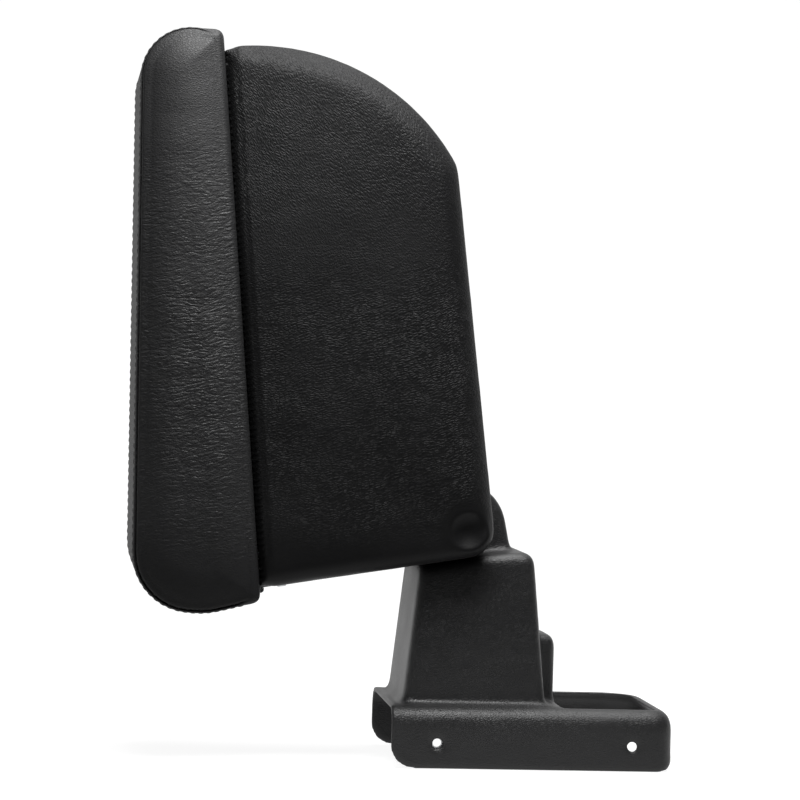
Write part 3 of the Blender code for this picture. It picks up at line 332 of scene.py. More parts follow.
class Outline:
    """Side outline of the lid, with its normals and where its seam runs."""

    def __init__(self):
        mesh = frame["nodes"]["lid_cover"].data
        flat = places_of(mesh)[:, [0, 2]]
        points, self.length = resampled(convex_outline(flat), OUTLINE_STEP)
        self.points = softened(points, OUTLINE_SOFTNESS, OUTLINE_STEP)
        self.count = len(self.points)
        self.step = self.length / self.count
        tangent = np.roll(self.points, -1, axis=0) - np.roll(self.points, 1, axis=0)
        self.tangents = tangent / np.hypot(*tangent.T)[:, None]
        self.normals = np.column_stack([self.tangents[:, 1], -self.tangents[:, 0]])
        self.along_axis = np.array([-math.sin(RIM_TILT), math.cos(RIM_TILT)])
        self.out_axis = np.array([-math.cos(RIM_TILT), -math.sin(RIM_TILT)])
        self.along = self.points @ self.along_axis
        self.out = self.points @ self.out_axis
        self.rim = self.out.min()
        height = self.out - self.rim
        self.seam = smoothstep(SEAM_FADE_START, SEAM_FADE_START + SEAM_FADE_LENGTH, height)
        level = (self.points[:, 1] - self.points[:, 1].min()) / np.ptp(self.points[:, 1])
        self.inset_scale = SEAM_INSET_BOTTOM + (SEAM_INSET_TOP - SEAM_INSET_BOTTOM) * level


def wrap_rings(outline):
    """Rings from the middle of the lid to the edge of one cheek: widths and insets, per point."""
    lip = LID_HALF_WIDTH - LIP_WIDTH
    flat = [LID_HALF_WIDTH - lip * k / WRAP_STEPS for k in range(WRAP_STEPS + 1)]
    rings = [(np.full(outline.count, w), np.zeros(outline.count)) for w in flat]
    arcs = np.arange(outline.count) * outline.step
    wave = 0.5 + 0.5 * np.cos(2 * math.pi * arcs / STITCH_PITCH)
    turns = np.linspace(0.0, math.pi / 2, len(SEAM_PROFILE))
    for (seam_width, seam_inset), turn in zip(SEAM_PROFILE, turns):
        plain_width = CHEEK_EDGE * (1 - math.sin(turn))
        plain_inset = CHEEK_EDGE * (1 - math.cos(turn))
        share = outline.seam
        width = plain_width + (seam_width - plain_width) * share
        scaled = seam_inset * outline.inset_scale if seam_inset < CHEEK_EDGE else seam_inset
        inset = plain_inset + (scaled - plain_inset) * share
        near_thread = math.exp(-(((seam_width - STITCH_PLACE) / PUCKER_REACH) ** 2))
        inset = inset + PUCKER_DEPTH * wave * near_thread * share
        rings.append((width, inset))
    return rings


def inset_points(outline, inset):
    """Outline moved inwards, with the loops taken out that this makes in tight corners."""
    flat = outline.points - outline.normals * inset[:, None]
    for _ in range(UNTANGLE_STEPS):
        step = np.roll(flat, -1, axis=0) - flat
        back = (step * outline.tangents).sum(axis=1) < UNTANGLE_SHARE * outline.step
        if not back.any():
            break
        moved = back | np.roll(back, 1)
        mean = (np.roll(flat, -1, axis=0) + np.roll(flat, 1, axis=0)) / 2
        flat[moved] = mean[moved]
    return flat


def cheek_depth(outline, places, edge_width):
    """How far each point of a cheek lies inside the lid's side plane; negative stands proud."""
    depth = np.empty(len(places))
    near = outline.points[::NEAR_STRIDE]
    for start in range(0, len(places), NEAR_BATCH):
        part = places[start:start + NEAR_BATCH]
        gaps = np.hypot(part[:, None, 0] - near[None, :, 0], part[:, None, 1] - near[None, :, 1])
        nearest = gaps.argmin(axis=1)
        distance = gaps.min(axis=1)
        rounding = np.clip(1 - (distance - CHEEK_EDGE) / CHEEK_ROUND, 0, 1) ** 2
        crown = np.clip((distance - CHEEK_EDGE) / CHEEK_CROWN_REACH, 0, 1)
        crown = CHEEK_CROWN * (1 - (1 - crown) ** 2)
        edge = edge_width[::NEAR_STRIDE][nearest]
        depth[start:start + NEAR_BATCH] = edge * rounding - crown
    return depth


def fold_height(place, side):
    """Soft pulls in the leather, which run from the rim to the top of the lid."""
    spot = Vector((place[0], side, place[1]))
    wide = noise.noise(spot * Vector(WIDE_FOLDS))
    narrow = noise.noise(spot * Vector(NARROW_FOLDS))
    return FOLD_DEPTH * (wide + NARROW_SHARE * narrow)


def cheek_faces(outline, edge_places):
    """Triangles over a cheek, with the points that they add inside the given edge."""
    low, high = edge_places.min(axis=0), edge_places.max(axis=0)
    rows = np.arange(low[1], high[1], CHEEK_GRID * math.sqrt(3) / 2)
    inner = []
    for number, z in enumerate(rows):
        shift = CHEEK_GRID / 2 if number % 2 else 0.0
        inner += [(x + shift, z) for x in np.arange(low[0], high[0], CHEEK_GRID)]
    inner = np.array(inner)
    normals = outline.normals[::NEAR_STRIDE]
    reach = (outline.points[::NEAR_STRIDE] * normals).sum(axis=1)
    outward = (inner @ normals.T - reach[None, :]).max(axis=1)
    inner = inner[outward < -(CHEEK_EDGE + CHEEK_MARGIN * CHEEK_GRID)]
    count = len(edge_places)
    points = [Vector(place) for place in np.vstack([edge_places, inner])]
    edges = [(k, (k + 1) % count) for k in range(count)]
    result = geometry.delaunay_2d_cdt(points, edges, [], 1, MERGE_DISTANCE)
    triangles, sources = result[2], result[3]
    return inner, [tuple(sources[number][0] for number in t) for t in triangles]


def make_lid_leather(outline):
    """Wrap and both cheeks of the lid, with the open lip under it."""
    rings = wrap_rings(outline)
    count = outline.count
    places, faces = [], []
    order = [(k, 1) for k in range(len(rings) - 1, 0, -1)] + [(k, -1) for k in range(len(rings))]
    for ring, side in order:
        width, inset = rings[ring]
        flat = inset_points(outline, inset)
        y = side * (LID_HALF_WIDTH - width)
        places.append(np.column_stack([flat[:, 0], y, flat[:, 1]]))
    for row in range(len(order) - 1):
        for k in range(count):
            after = (k + 1) % count
            a, b = row * count, (row + 1) * count
            faces.append((a + k, a + after, b + after, b + k))
    total = len(order) * count
    edge_width = rings[-1][0]
    ends = ((order[0][1], 0, places[0]), (order[-1][1], total - count, places[-1]))
    for side, base, edge in ends:
        inner, triangles = cheek_faces(outline, edge[:, [0, 2]])
        depth = cheek_depth(outline, inner, edge_width)
        folds = np.array([fold_height(place, side) for place in inner])
        fade = np.clip(-depth / CHEEK_CROWN, 0, 1)
        y = side * (LID_HALF_WIDTH - depth + folds * fade)
        places.append(np.column_stack([inner[:, 0], y, inner[:, 1]]))
        for triangle in triangles:
            numbers = [base + i if i < count else total + i - count for i in triangle]
            faces.append(tuple(numbers if side < 0 else numbers[::-1]))
        total += len(inner)
    mesh = mesh_from("lid_leather", np.vstack(places), faces)
    open_lip(mesh, outline)
    piece = new_piece("lid_leather", mesh)
    mesh.shade_smooth()
    return piece


def open_lip(mesh, outline):
    """Cut the opening under the lid, with an edge as thick as the leather."""
    bm = bmesh.new()
    bm.from_mesh(mesh)
    bmesh.ops.recalc_face_normals(bm, faces=bm.faces)
    half = LID_HALF_WIDTH - LIP_WIDTH
    start = outline.along.min() + LIP_WIDTH
    end = outline.along.max() - LIP_WIDTH
    along_axis = Vector((outline.along_axis[0], 0.0, outline.along_axis[1]))
    out_axis = Vector((outline.out_axis[0], 0.0, outline.out_axis[1]))
    doomed = []
    for face in bm.faces:
        centre = face.calc_center_median()
        under = centre.dot(out_axis) < outline.rim + LIP_TOLERANCE
        if under and abs(centre.y) < half and start < centre.dot(along_axis) < end:
            doomed.append(face)
    bmesh.ops.delete(bm, geom=doomed, context="FACES")
    border = [edge for edge in bm.edges if edge.is_boundary]
    folded = bmesh.ops.extrude_edge_only(bm, edges=border)
    moved = [item for item in folded["geom"] if isinstance(item, bmesh.types.BMVert)]
    bmesh.ops.translate(bm, vec=out_axis * LIP_DEPTH, verts=moved)
    bmesh.ops.recalc_face_normals(bm, faces=bm.faces)
    bm.to_mesh(mesh)
    bm.free()


def make_stitching(outline):
    """Thread of the topstitch beside each seam, one short arched piece for every stitch."""
    places, faces = [], []
    per_lap = int(round(outline.length / STITCH_PITCH))
    for side in (-1, 1):
        for number in range(per_lap):
            middle = number * outline.length / per_lap
            if outline.seam[int(middle / outline.step) % outline.count] < SEWN_SHARE:
                continue
            base = len(places)
            for step in range(STITCH_STEPS + 1):
                share = step / STITCH_STEPS
                arc = middle + STITCH_PITCH / 2 + (share - 0.5) * STITCH_LENGTH
                k = int(round(arc / outline.step)) % outline.count
                bulge = math.sin(math.pi * share)
                lift = STITCH_RADIUS * STITCH_SINK * (bulge - 1.0)
                radius = STITCH_RADIUS * (STITCH_END + (1.0 - STITCH_END) * math.sqrt(bulge))
                centre = outline.points[k] + outline.normals[k] * lift
                for turn in range(STITCH_SIDES):
                    angle = 2 * math.pi * turn / STITCH_SIDES
                    flat = centre + outline.normals[k] * radius * math.sin(angle)
                    y = side * (LID_HALF_WIDTH - STITCH_PLACE) + radius * math.cos(angle)
                    places.append((flat[0], y, flat[1]))
            for step in range(STITCH_STEPS):
                for turn in range(STITCH_SIDES):
                    a = base + step * STITCH_SIDES + turn
                    b = base + step * STITCH_SIDES + (turn + 1) % STITCH_SIDES
                    faces.append((a, b, b + STITCH_SIDES, a + STITCH_SIDES))
            last = base + STITCH_STEPS * STITCH_SIDES
            faces.append(tuple(base + turn for turn in range(STITCH_SIDES))[::-1])
            faces.append(tuple(last + turn for turn in range(STITCH_SIDES)))
    mesh = mesh_from("lid_stitching", places, faces)
    mesh.shade_smooth()
    bm = bmesh.new()
    bm.from_mesh(mesh)
    bmesh.ops.recalc_face_normals(bm, faces=bm.faces)
    bm.to_mesh(mesh)
    bm.free()
    return new_piece("lid_stitching", mesh)


# Moulded shells
def remeshed(name, node, voxel, tilt=0.0):
    """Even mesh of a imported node, fine enough to be rounded, with its rows along the tilted rim."""
    source = new_piece(name, frame["nodes"][node].data.copy())
    source.data.transform(Matrix.Rotation(tilt, 4, "Y"))
    step = source.modifiers.new("even", "REMESH")
    step.mode = "VOXEL"
    step.voxel_size = voxel
    graph = bpy.context.evaluated_depsgraph_get()
    mesh = bpy.data.meshes.new_from_object(source.evaluated_get(graph))
    source.modifiers.clear()
    source.data = mesh
    mesh.transform(Matrix.Rotation(-tilt, 4, "Y"))
    mesh.materials.clear()
    return source


def smoothed(mesh, weights, steps, shares):
    """Move each point towards the mean of its neighbours, by its weight and by each share in turn."""
    edges = np.empty(len(mesh.edges) * 2, np.int64)
    mesh.edges.foreach_get("vertices", edges)
    a, b = edges.reshape(-1, 2).T
    count = len(mesh.vertices)
    degree = np.bincount(a, minlength=count) + np.bincount(b, minlength=count)
    places = places_of(mesh)
    for _ in range(steps):
        for share in shares:
            total = np.empty_like(places)
            for axis in range(3):
                total[:, axis] = np.bincount(a, places[b, axis], count)
                total[:, axis] += np.bincount(b, places[a, axis], count)
            mean = total / degree[:, None]
            places += (mean - places) * (share * weights)[:, None]
    set_places(mesh, places)


def make_base_skin():
    """The formed base, with soft fillets where the sheet was drawn over its mould."""
    piece = remeshed("base_skin", "base_shell", BASE_VOXEL)
    mesh = piece.data
    low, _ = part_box("base_shell")
    places = places_of(mesh)
    x, y, z = places.T
    every = np.ones(len(places))
    smoothed(mesh, every, EVEN_OUT_STEPS, (EVEN_OUT_IN, EVEN_OUT_OUT))
    weights = smoothstep(low.z + FREE_EDGE, low.z + 3 * FREE_EDGE, z)
    weights *= smoothstep(low.x + FREE_EDGE / 2, low.x + 2 * FREE_EDGE, x)
    openings = frame["record"]["physics"]["openings"]
    start, end = next(item["box_m"] for item in openings if item["name"] == "roof_opening")
    past_x = np.maximum(start[0] - x, x - end[0])
    past_y = np.maximum(start[1] - y, y - end[1])
    beside = smoothstep(OPENING_SHARP, OPENING_SOFT, np.maximum(past_x, past_y))
    weights *= np.where(z < low.z + ROOF_LEVEL, beside, 1.0)
    smoothed(mesh, weights, FILLET_STEPS, (FILLET_SHARE,))
    mesh.shade_smooth()
    return piece


def round_nose(mesh, half_width):
    """Rounds the side edges of the box more along its nose than elsewhere."""
    places = places_of(mesh)
    flat = places[:, [0, 2]]
    outline, _ = resampled(convex_outline(flat), 4 * OUTLINE_STEP)
    tangent = np.roll(outline, -1, axis=0) - np.roll(outline, 1, axis=0)
    tangent /= np.hypot(*tangent.T)[:, None]
    facing = (tangent[:, 1] - tangent[:, 0]) * math.sqrt(0.5)
    nose = smoothstep(NOSE_FACING_LOW, NOSE_FACING_HIGH, facing)
    radii = BOX_EDGE + (NOSE_EDGE - BOX_EDGE) * nose
    for start in range(0, len(places), NEAR_BATCH):
        part = flat[start:start + NEAR_BATCH]
        gaps = np.hypot(part[:, None, 0] - outline[None, :, 0], part[:, None, 1] - outline[None, :, 1])
        radius = radii[gaps.argmin(axis=1)]
        inset = np.clip(radius - gaps.min(axis=1), 0.0, radius)
        limit = half_width - radius + np.sqrt(radius ** 2 - inset ** 2)
        y = places[start:start + NEAR_BATCH, 1]
        places[start:start + NEAR_BATCH, 1] = np.sign(y) * np.minimum(np.abs(y), limit)
    set_places(mesh, places)


def make_box_skin():
    """The storage box, with slightly crowned sides and softened edges."""
    piece = remeshed("box_skin", "storage_box", BOX_VOXEL, RIM_TILT)
    mesh = piece.data
    low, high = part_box("storage_box")
    every = np.ones(len(mesh.vertices))
    smoothed(mesh, every, EVEN_OUT_STEPS, (EVEN_OUT_IN, EVEN_OUT_OUT))
    round_nose(mesh, high.y)
    places = places_of(mesh)
    x, y, z = places.T
    out = -x * math.cos(RIM_TILT) - z * math.sin(RIM_TILT)
    depth = out.max() - out
    weights = smoothstep(REBATE_WIDTH, BOX_SOFT_DEPTH, depth)
    smoothed(mesh, weights, BOX_SOFT_STEPS, (FILLET_SHARE,))
    places = places_of(mesh)
    x, y, z = places.T
    past_rebate = smoothstep(REBATE_WIDTH - REBATE_DEPTH, REBATE_WIDTH + REBATE_DEPTH, depth)
    wall_y = np.sign(y) * (high.y - REBATE_DEPTH * (1.0 - past_rebate))
    wall = (np.abs(y) > high.y - 2 * REBATE_DEPTH) & (depth < 2 * REBATE_WIDTH)
    wall &= (z > low.z + NOSE_EDGE) & (z < high.z - NOSE_EDGE)
    y = np.where(wall, wall_y, y)
    across = np.sin(math.pi * np.clip((x - low.x) / (high.x - low.x), 0, 1))
    up = np.sin(math.pi * np.clip((z - low.z) / (high.z - low.z), 0, 1))
    side = np.sign(y) * smoothstep(CROWN_START, CROWN_FULL, np.abs(y))
    hub = np.hypot(x - PIVOT[0], z - PIVOT[2])
    dish = DISH_DEPTH * (0.5 + 0.5 * np.cos(math.pi * np.clip(hub / DISH_RADIUS, 0, 1)))
    dish -= DISH_RIM * np.exp(-(((hub - DISH_RADIUS) / DISH_RIM_WIDTH) ** 2))
    skin = np.abs(y) > high.y - DISH_DEPTH - BOX_EDGE / 2
    places[:, 1] = y + side * (BOX_CROWN * across * up - np.where(skin, dish, 0.0))
    set_places(mesh, places)
    mesh.shade_smooth()
    return piece


# Materials
def set_inputs(tree, target, inputs):
    """Give each input its value, or a link from the socket that stands in its place."""
    for key, value in inputs.items():
        socket = target.inputs[key]
        if isinstance(value, bpy.types.NodeSocket):
            tree.links.new(value, socket)
        else:
            socket.default_value = value


def add_node(tree, kind, settings=None, inputs=None):
    made = tree.nodes.new(kind)
    for key, value in (settings or {}).items():
        setattr(made, key, value)
    set_inputs(tree, made, inputs or {})
    return made


def calculate(tree, operation, a, b=0.0):
    return add_node(tree, "ShaderNodeMath", {"operation": operation}, {0: a, 1: b}).outputs[0]


def vector_math(tree, operation, inputs):
    return add_node(tree, "ShaderNodeVectorMath", {"operation": operation}, inputs).outputs


def parts_of(tree, vector):
    """Sockets X, Y and Z of a vector."""
    return add_node(tree, "ShaderNodeSeparateXYZ", {}, {0: vector}).outputs


def between(tree, value, low, high, out_low=0.0, out_high=1.0):
    """Value taken smoothly from one range to another."""
    inputs = {"Value": value, "From Min": low, "From Max": high, "To Min": out_low, "To Max": out_high}
    made = add_node(tree, "ShaderNodeMapRange", {"interpolation_type": "SMOOTHSTEP"}, inputs)
    return made.outputs["Result"]


def stretched(tree, vector, size, turn=(0.0, 0.0, 0.0)):
    """Coordinates turned about the axes, with one unit for each of the three sizes in metres."""
    inputs = {"Vector": vector, "Rotation": turn, "Scale": size}
    return add_node(tree, "ShaderNodeMapping", {"vector_type": "TEXTURE"}, inputs).outputs["Vector"]


def soft_noise(tree, vector, size, detail=2.0):
    """Sockets of soft noise with spots of one size in metres."""
    inputs = {"Vector": vector, "Scale": 1 / size, "Detail": detail}
    return add_node(tree, "ShaderNodeTexNoise", {"noise_dimensions": "3D"}, inputs).outputs


def clouds(tree, vector, size, detail=2.0):
    return soft_noise(tree, vector, size, detail)["Fac"]


def warped(tree, vector, size, amount):
    """Coordinates shifted by soft noise of one size."""
    colour = soft_noise(tree, vector, size)["Color"]
    centred = vector_math(tree, "SUBTRACT", {0: colour, 1: (0.5, 0.5, 0.5)})[0]
    shift = vector_math(tree, "SCALE", {0: centred, "Scale": amount})[0]
    return vector_math(tree, "ADD", {0: vector, 1: shift})[0]


def cells(tree, vector, border):
    """Cells one unit wide: 0 at their borders, rising to 1 within the border's width."""
    settings = {"feature": "DISTANCE_TO_EDGE", "voronoi_dimensions": "3D"}
    made = add_node(tree, "ShaderNodeTexVoronoi", settings, {"Vector": vector, "Scale": 1.0})
    return between(tree, made.outputs["Distance"], 0.0, border)


def bumped(tree, height, distance, strength=1.0, normal=None):
    inputs = {"Height": height, "Distance": distance, "Strength": strength}
    if normal is not None:
        inputs["Normal"] = normal
    return add_node(tree, "ShaderNodeBump", {}, inputs).outputs["Normal"]


def tinted(tree, share, tones):
    """Colour between the two tones."""
    first, second = tones
    inputs = {0: share, 6: (*first, 1.0), 7: (*second, 1.0)}
    return add_node(tree, "ShaderNodeMix", {"data_type": "RGBA"}, inputs).outputs[2]


def new_material(name):
    material = bpy.data.materials.new(name)
    material.use_nodes = True
    tree = material.node_tree
    shader = tree.nodes["Principled BSDF"]
    place = add_node(tree, "ShaderNodeTexCoord").outputs["Object"]
    return material, tree, shader, place


def crease_mask(tree, place):
    """Where the leather is creased: in patches, not at its foot, and little near its top."""
    low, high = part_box("lid_cover")
    up = parts_of(tree, place)["Z"]
    rise = between(tree, up, low.z + CREASES_START, low.z + CREASES_FULL)
    fall = between(tree, up, high.z - CREASES_FADE, high.z - CREASES_END, 1.0, TOP_CREASES)
    patches = between(tree, clouds(tree, place, PATCH_SIZE), 0.35, 0.60, 0.60, 1.0)
    return calculate(tree, "MULTIPLY", calculate(tree, "MULTIPLY", rise, fall), patches)


def leather_gloss(tree, place):
    """Gloss of the leather, duller on the wrap between the cheeks and at the lid's foot."""
    low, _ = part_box("lid_cover")
    facing = add_node(tree, "ShaderNodeTexCoord").outputs["Normal"]
    aside = calculate(tree, "ABSOLUTE", parts_of(tree, facing)["Y"])
    gloss = between(tree, aside, WRAP_FACING, CHEEK_FACING, WRAP_GLOSS, CHEEK_GLOSS)
    foot = between(tree, parts_of(tree, place)["Z"], low.z, low.z + FOOT_HEIGHT, FOOT_GLOSS, 1.0)
    return calculate(tree, "MULTIPLY", gloss, foot)


def leather_material():
    """Black leather with pores, wrinkles and creases that cross the lid."""
    material, tree, shader, place = new_material("black_leather")
    mask = crease_mask(tree, place)
    bent = warped(tree, place, *LEATHER_BEND)
    creases = cells(tree, stretched(tree, bent, CREASE_CELL, CREASE_TURN), CELL_BORDER)
    wrinkles = cells(tree, stretched(tree, bent, WRINKLE_CELL, CREASE_TURN), WRINKLE_BORDER)
    bent_pores = warped(tree, place, *PORE_BEND)
    pores = cells(tree, stretched(tree, bent_pores, PORE_CELL), CELL_BORDER)
    normal = bumped(tree, calculate(tree, "MULTIPLY", creases, mask), CREASE_DEPTH)
    normal = bumped(tree, calculate(tree, "MULTIPLY", wrinkles, mask), WRINKLE_DEPTH, 1.0, normal)
    normal = bumped(tree, pores, PORE_DEPTH, 1.0, normal)
    normal = bumped(tree, clouds(tree, place, DUST_SIZE), DUST_DEPTH, 0.6, normal)
    set_inputs(tree, shader, {
        "Base Color": tinted(tree, clouds(tree, place, LEATHER_HAZE, 4.0), BLACK_TONES),
        "Roughness": between(tree, pores, 0.0, 1.0, 0.56, 0.44),
        "Specular IOR Level": leather_gloss(tree, place),
        "Normal": normal,
    })
    return material


def smooth_places(tree, place, height):
    """Height of the box's grain, faded out low down and round the dish at the pivot."""
    low_fade = between(tree, parts_of(tree, place)["Z"], SMOOTH_BELOW, GRAIN_ABOVE, LOW_GRAIN, 1.0)
    from_pivot = vector_math(tree, "SUBTRACT", {0: place, 1: PIVOT})[0]
    flat = vector_math(tree, "MULTIPLY", {0: from_pivot, 1: (1.0, 0.0, 1.0)})[0]
    away = vector_math(tree, "LENGTH", {0: flat})["Value"]
    dish_fade = between(tree, away, DISH_RADIUS, DISH_CLEARANCE * DISH_RADIUS, DISH_GRAIN, 1.0)
    return calculate(tree, "MULTIPLY", calculate(tree, "MULTIPLY", height, low_fade), dish_fade)


def grain_material(name, grain):
    """Black moulded plastic with a fine grain, slanting one way low down and the other way above."""
    size, depth, gloss, tone_share = grain
    material, tree, shader, place = new_material(name)
    bent = warped(tree, place, *GRAIN_BEND)
    cell = [size * part for part in GRAIN_STRETCH]
    rising = cells(tree, stretched(tree, bent, cell, RISING_TURN), CELL_BORDER)
    falling = cells(tree, stretched(tree, bent, cell, FALLING_TURN), CELL_BORDER)
    share = between(tree, parts_of(tree, place)["Z"], GRAIN_TURN_LOW, GRAIN_TURN_HIGH)
    inputs = {0: share, 2: rising, 3: falling}
    worms = add_node(tree, "ShaderNodeMix", {"data_type": "FLOAT"}, inputs).outputs[0]
    patches = between(tree, clouds(tree, place, GRAIN_PATCH), 0.30, 0.65, 0.80, 1.0)
    height = calculate(tree, "MULTIPLY", worms, patches)
    if name == "grained_black":
        height = smooth_places(tree, place, height)
    normal = bumped(tree, height, depth)
    dust = clouds(tree, place, size * GRAIN_DUST)
    normal = bumped(tree, dust, depth * GRAIN_DUST, 0.7, normal)
    haze = clouds(tree, place, GRAIN_HAZE, 4.0)
    tones = [[tone_share * part for part in tone] for tone in BLACK_TONES]
    set_inputs(tree, shader, {
        "Base Color": tinted(tree, haze, tones),
        "Roughness": between(tree, haze, 0.3, 0.7, 0.42, 0.50),
        "Specular IOR Level": gloss,
        "Normal": normal,
    })
    return material


def thread_material():
    """Twisted black thread."""
    material, tree, shader, place = new_material("black_thread")
    inputs = {"Vector": place, "Scale": THREAD_TWISTS}
    twist = add_node(tree, "ShaderNodeTexWave", {"bands_direction": "DIAGONAL"}, inputs).outputs["Fac"]
    set_inputs(tree, shader, {
        "Base Color": tinted(tree, twist, THREAD_TONES),
        "Roughness": 0.6,
        "Normal": bumped(tree, twist, 0.00006),
    })
    return material


def felt_material():
    """Matted black fibres."""
    material, tree, shader, place = new_material("black_felt")
    bent = warped(tree, place, *FELT_BEND)
    pile = clouds(tree, stretched(tree, bent, FELT_FIBRE), 1.0, 6.0)
    set_inputs(tree, shader, {
        "Base Color": tinted(tree, pile, FELT_TONES),
        "Roughness": 0.95,
        "Sheen Weight": 0.25,
        "Normal": bumped(tree, pile, 0.0003),
    })
    return material


def foam_material():
    """Grey foam with open pores."""
    material, tree, shader, place = new_material("grey_foam")
    pores = cells(tree, stretched(tree, place, FOAM_PORE), CELL_BORDER)
    set_inputs(tree, shader, {
        "Base Color": tinted(tree, pores, FOAM_TONES),
        "Roughness": 0.9,
        "Normal": bumped(tree, pores, 0.0004),
    })
    return material


def plywood_material():
    """Wood with broad rings and fine fibres along the lid."""
    material, tree, shader, place = new_material("plywood")
    rings = clouds(tree, stretched(tree, place, WOOD_RING), 1.0, 5.0)
    fibre = clouds(tree, stretched(tree, place, WOOD_FIBRE), 1.0, 3.0)
    set_inputs(tree, shader, {
        "Base Color": tinted(tree, calculate(tree, "MULTIPLY", rings, fibre), WOOD_TONES),
        "Roughness": 0.7,
        "Normal": bumped(tree, fibre, 0.0002),
    })
    return material


def steel_material():
    """Zinc-plated steel, faintly mottled, with fine drawn lines."""
    material, tree, shader, place = new_material("zinc_steel")
    spangle = clouds(tree, place, STEEL_SPANGLE, 3.0)
    lines = clouds(tree, stretched(tree, place, STEEL_LINE), 1.0, 2.0)
    set_inputs(tree, shader, {
        "Base Color": tinted(tree, spangle, STEEL_TONES),
        "Roughness": between(tree, lines, 0.2, 0.8, 0.26, 0.42),
        "Metallic": 1.0,
        "Normal": bumped(tree, lines, 0.00003),
    })
    return material


def nylon_material():
    """Off-white nylon with a soft glow below its surface."""
    material, tree, shader, place = new_material("white_nylon")
    haze = clouds(tree, place, NYLON_HAZE, 3.0)
    set_inputs(tree, shader, {
        "Base Color": tinted(tree, haze, NYLON_TONES),
        "Roughness": 0.42,
        "Subsurface Weight": 0.1,
        "Normal": bumped(tree, haze, 0.00005),
    })
    return material


def ferrite_material():
    """Dark gritty magnet."""
    material, tree, shader, place = new_material("ferrite")
    grit = clouds(tree, place, FERRITE_GRIT, 4.0)
    set_inputs(tree, shader, {
        "Base Color": tinted(tree, grit, FERRITE_TONES),
        "Roughness": 0.6,
        "Normal": bumped(tree, grit, 0.00008),
    })
    return material


def finish(piece, material, slot, body, *nodes):
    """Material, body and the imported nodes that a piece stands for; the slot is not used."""
    piece.data.materials.clear()
    piece.data.materials.append(material)
    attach(piece, body)
    if nodes:
        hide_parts(*nodes)


def dress_packed_nodes(makers):
    """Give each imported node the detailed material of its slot."""
    slots = {part["node"]: part["material_slot"] for part in frame["record"]["subparts"]}
    made = {}
    for node, piece in frame["nodes"].items():
        slot = slots[node]
        if slot not in made:
            made[slot] = makers[slot]()
        if not piece.data.materials:
            piece.data.materials.append(made[slot])
        for number in range(len(piece.data.materials)):
            piece.data.materials[number] = made[slot]
    return made


# Studio
def new_light(name, location, target, size, power):
    light = bpy.data.lights.new(name, "AREA")
    light.shape = "RECTANGLE"
    light.size, light.size_y = size
    light.energy = power
    lamp = bpy.data.objects.new(name, light)
    bpy.context.scene.collection.objects.link(lamp)
    lamp.location = location
    lamp.rotation_euler = (Vector(target) - Vector(location)).to_track_quat("-Z", "Y").to_euler()


def seen_directly(tree):
    """1 for rays that come from the camera, from a mirror or through glass."""
    path = add_node(tree, "ShaderNodeLightPath").outputs
    either = calculate(tree, "MAXIMUM", path["Is Camera Ray"], path["Is Glossy Ray"])
    return calculate(tree, "MAXIMUM", either, path["Is Transmission Ray"])


def make_floor():
    """Pale floor that curves up into a backdrop behind the part, and can't be seen from behind."""
    profile = [(FLOOR_FRONT, 0.0)]
    for step in range(BEND_STEPS + 1):
        angle = math.pi / 2 * step / BEND_STEPS
        out = BACKDROP_PLACE - BEND_RADIUS * (1.0 - math.sin(angle))
        profile.append((out, BEND_RADIUS * (1.0 - math.cos(angle))))
    profile.append((BACKDROP_PLACE, BACKDROP_TOP))
    level = cad_low.z - FLOOR_GAP
    edges = (-BACKDROP_HALF_WIDTH, BACKDROP_HALF_WIDTH)
    places = [(x, y, z + level) for x in edges for y, z in profile]
    count = len(profile)
    faces = [(k, k + count, k + count + 1, k + 1) for k in range(count - 1)]
    floor = new_piece("floor", mesh_from("floor", places, faces))
    floor.data.shade_smooth()
    material, tree, shader, _ = new_material("pale_floor")
    set_inputs(tree, shader, {
        "Base Color": (FLOOR_TONE, FLOOR_TONE, FLOOR_TONE, 1.0),
        "Roughness": 0.9,
        "Specular IOR Level": 0.0,
        "Emission Color": (1.0, 1.0, 1.0, 1.0),
        "Emission Strength": calculate(tree, "MULTIPLY", seen_directly(tree), FLOOR_LIFT),
    })
    behind = add_node(tree, "ShaderNodeNewGeometry").outputs["Backfacing"]
    clear = add_node(tree, "ShaderNodeBsdfTransparent").outputs[0]
    either = add_node(tree, "ShaderNodeMixShader", {}, {0: behind, 1: shader.outputs[0], 2: clear})
    set_inputs(tree, tree.nodes["Material Output"], {"Surface": either.outputs[0]})
    floor.data.materials.append(material)


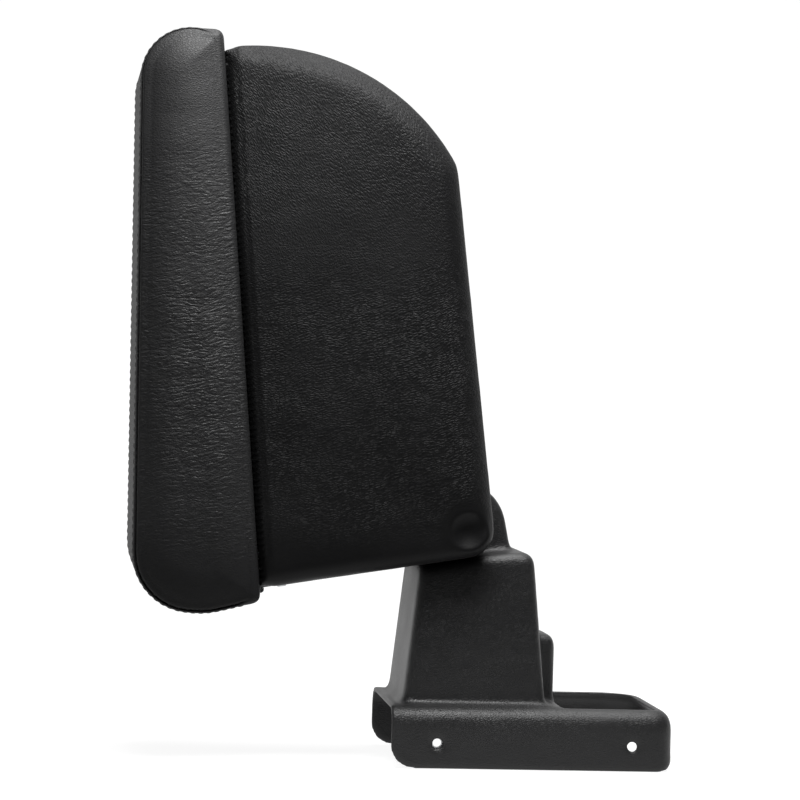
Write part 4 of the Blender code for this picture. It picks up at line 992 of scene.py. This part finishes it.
def make_world():
    """Soft surroundings, brighter above than at the sides, and white where the camera sees them."""
    world = bpy.data.worlds.new("studio")
    bpy.context.scene.world = world
    world.use_nodes = True
    tree = world.node_tree
    direction = add_node(tree, "ShaderNodeTexCoord").outputs["Generated"]
    sky = between(tree, parts_of(tree, direction)["Z"], 0.0, 1.0, SKY_SIDE, SKY_UP)
    camera_ray = add_node(tree, "ShaderNodeLightPath").outputs["Is Camera Ray"]
    strength = calculate(tree, "MAXIMUM", sky, camera_ray)
    white = (1.0, 1.0, 1.0, 1.0)
    set_inputs(tree, tree.nodes["Background"], {"Color": white, "Strength": strength})


def make_lights():
    middle = (cad_low + cad_high) / 2
    new_light("key", KEY_PLACE, KEY_TARGET, KEY_SIZE, KEY_POWER)
    new_light("top", TOP_PLACE, middle, TOP_SIZE, TOP_POWER)


def make_camera():
    camera = bpy.data.cameras.new("camera")
    camera.sensor_width = SENSOR
    camera.lens = LENS
    carrier = bpy.data.objects.new("camera", camera)
    bpy.context.scene.collection.objects.link(carrier)
    carrier.location = CAMERA_LOCATION
    level = math.cos(CAMERA_ELEVATION)
    rise = math.sin(CAMERA_ELEVATION)
    ahead = Vector((-math.sin(CAMERA_AZIMUTH) * level, math.cos(CAMERA_AZIMUTH) * level, rise))
    turn = ahead.to_track_quat("-Z", "Y").to_matrix().to_4x4()
    turn = turn @ Matrix.Rotation(CAMERA_ROLL, 4, "Z")
    carrier.rotation_euler = turn.to_euler()
    bpy.context.scene.camera = carrier


def main():
    makers = {
        "moulded_black": lambda: grain_material("moulded_black", BASE_GRAIN),
        "grained_black": lambda: grain_material("grained_black", BOX_GRAIN),
        "black_leather": leather_material,
        "black_felt": felt_material,
        "grey_foam": foam_material,
        "plywood": plywood_material,
        "zinc_steel": steel_material,
        "white_nylon": nylon_material,
        "ferrite": ferrite_material,
    }
    made = dress_packed_nodes(makers)
    outline = Outline()
    leather = make_lid_leather(outline)
    finish(leather, made["black_leather"], "black_leather", "lid", "lid_cover")
    finish(make_stitching(outline), thread_material(), "black_leather", "lid")
    finish(make_box_skin(), made["grained_black"], "grained_black", "arm", "storage_box")
    finish(make_base_skin(), made["moulded_black"], "moulded_black", "base", "base_shell")
    make_floor()
    make_world()
    make_lights()
    make_camera()
    bpy.context.scene.view_settings.view_transform = "Standard"


main()
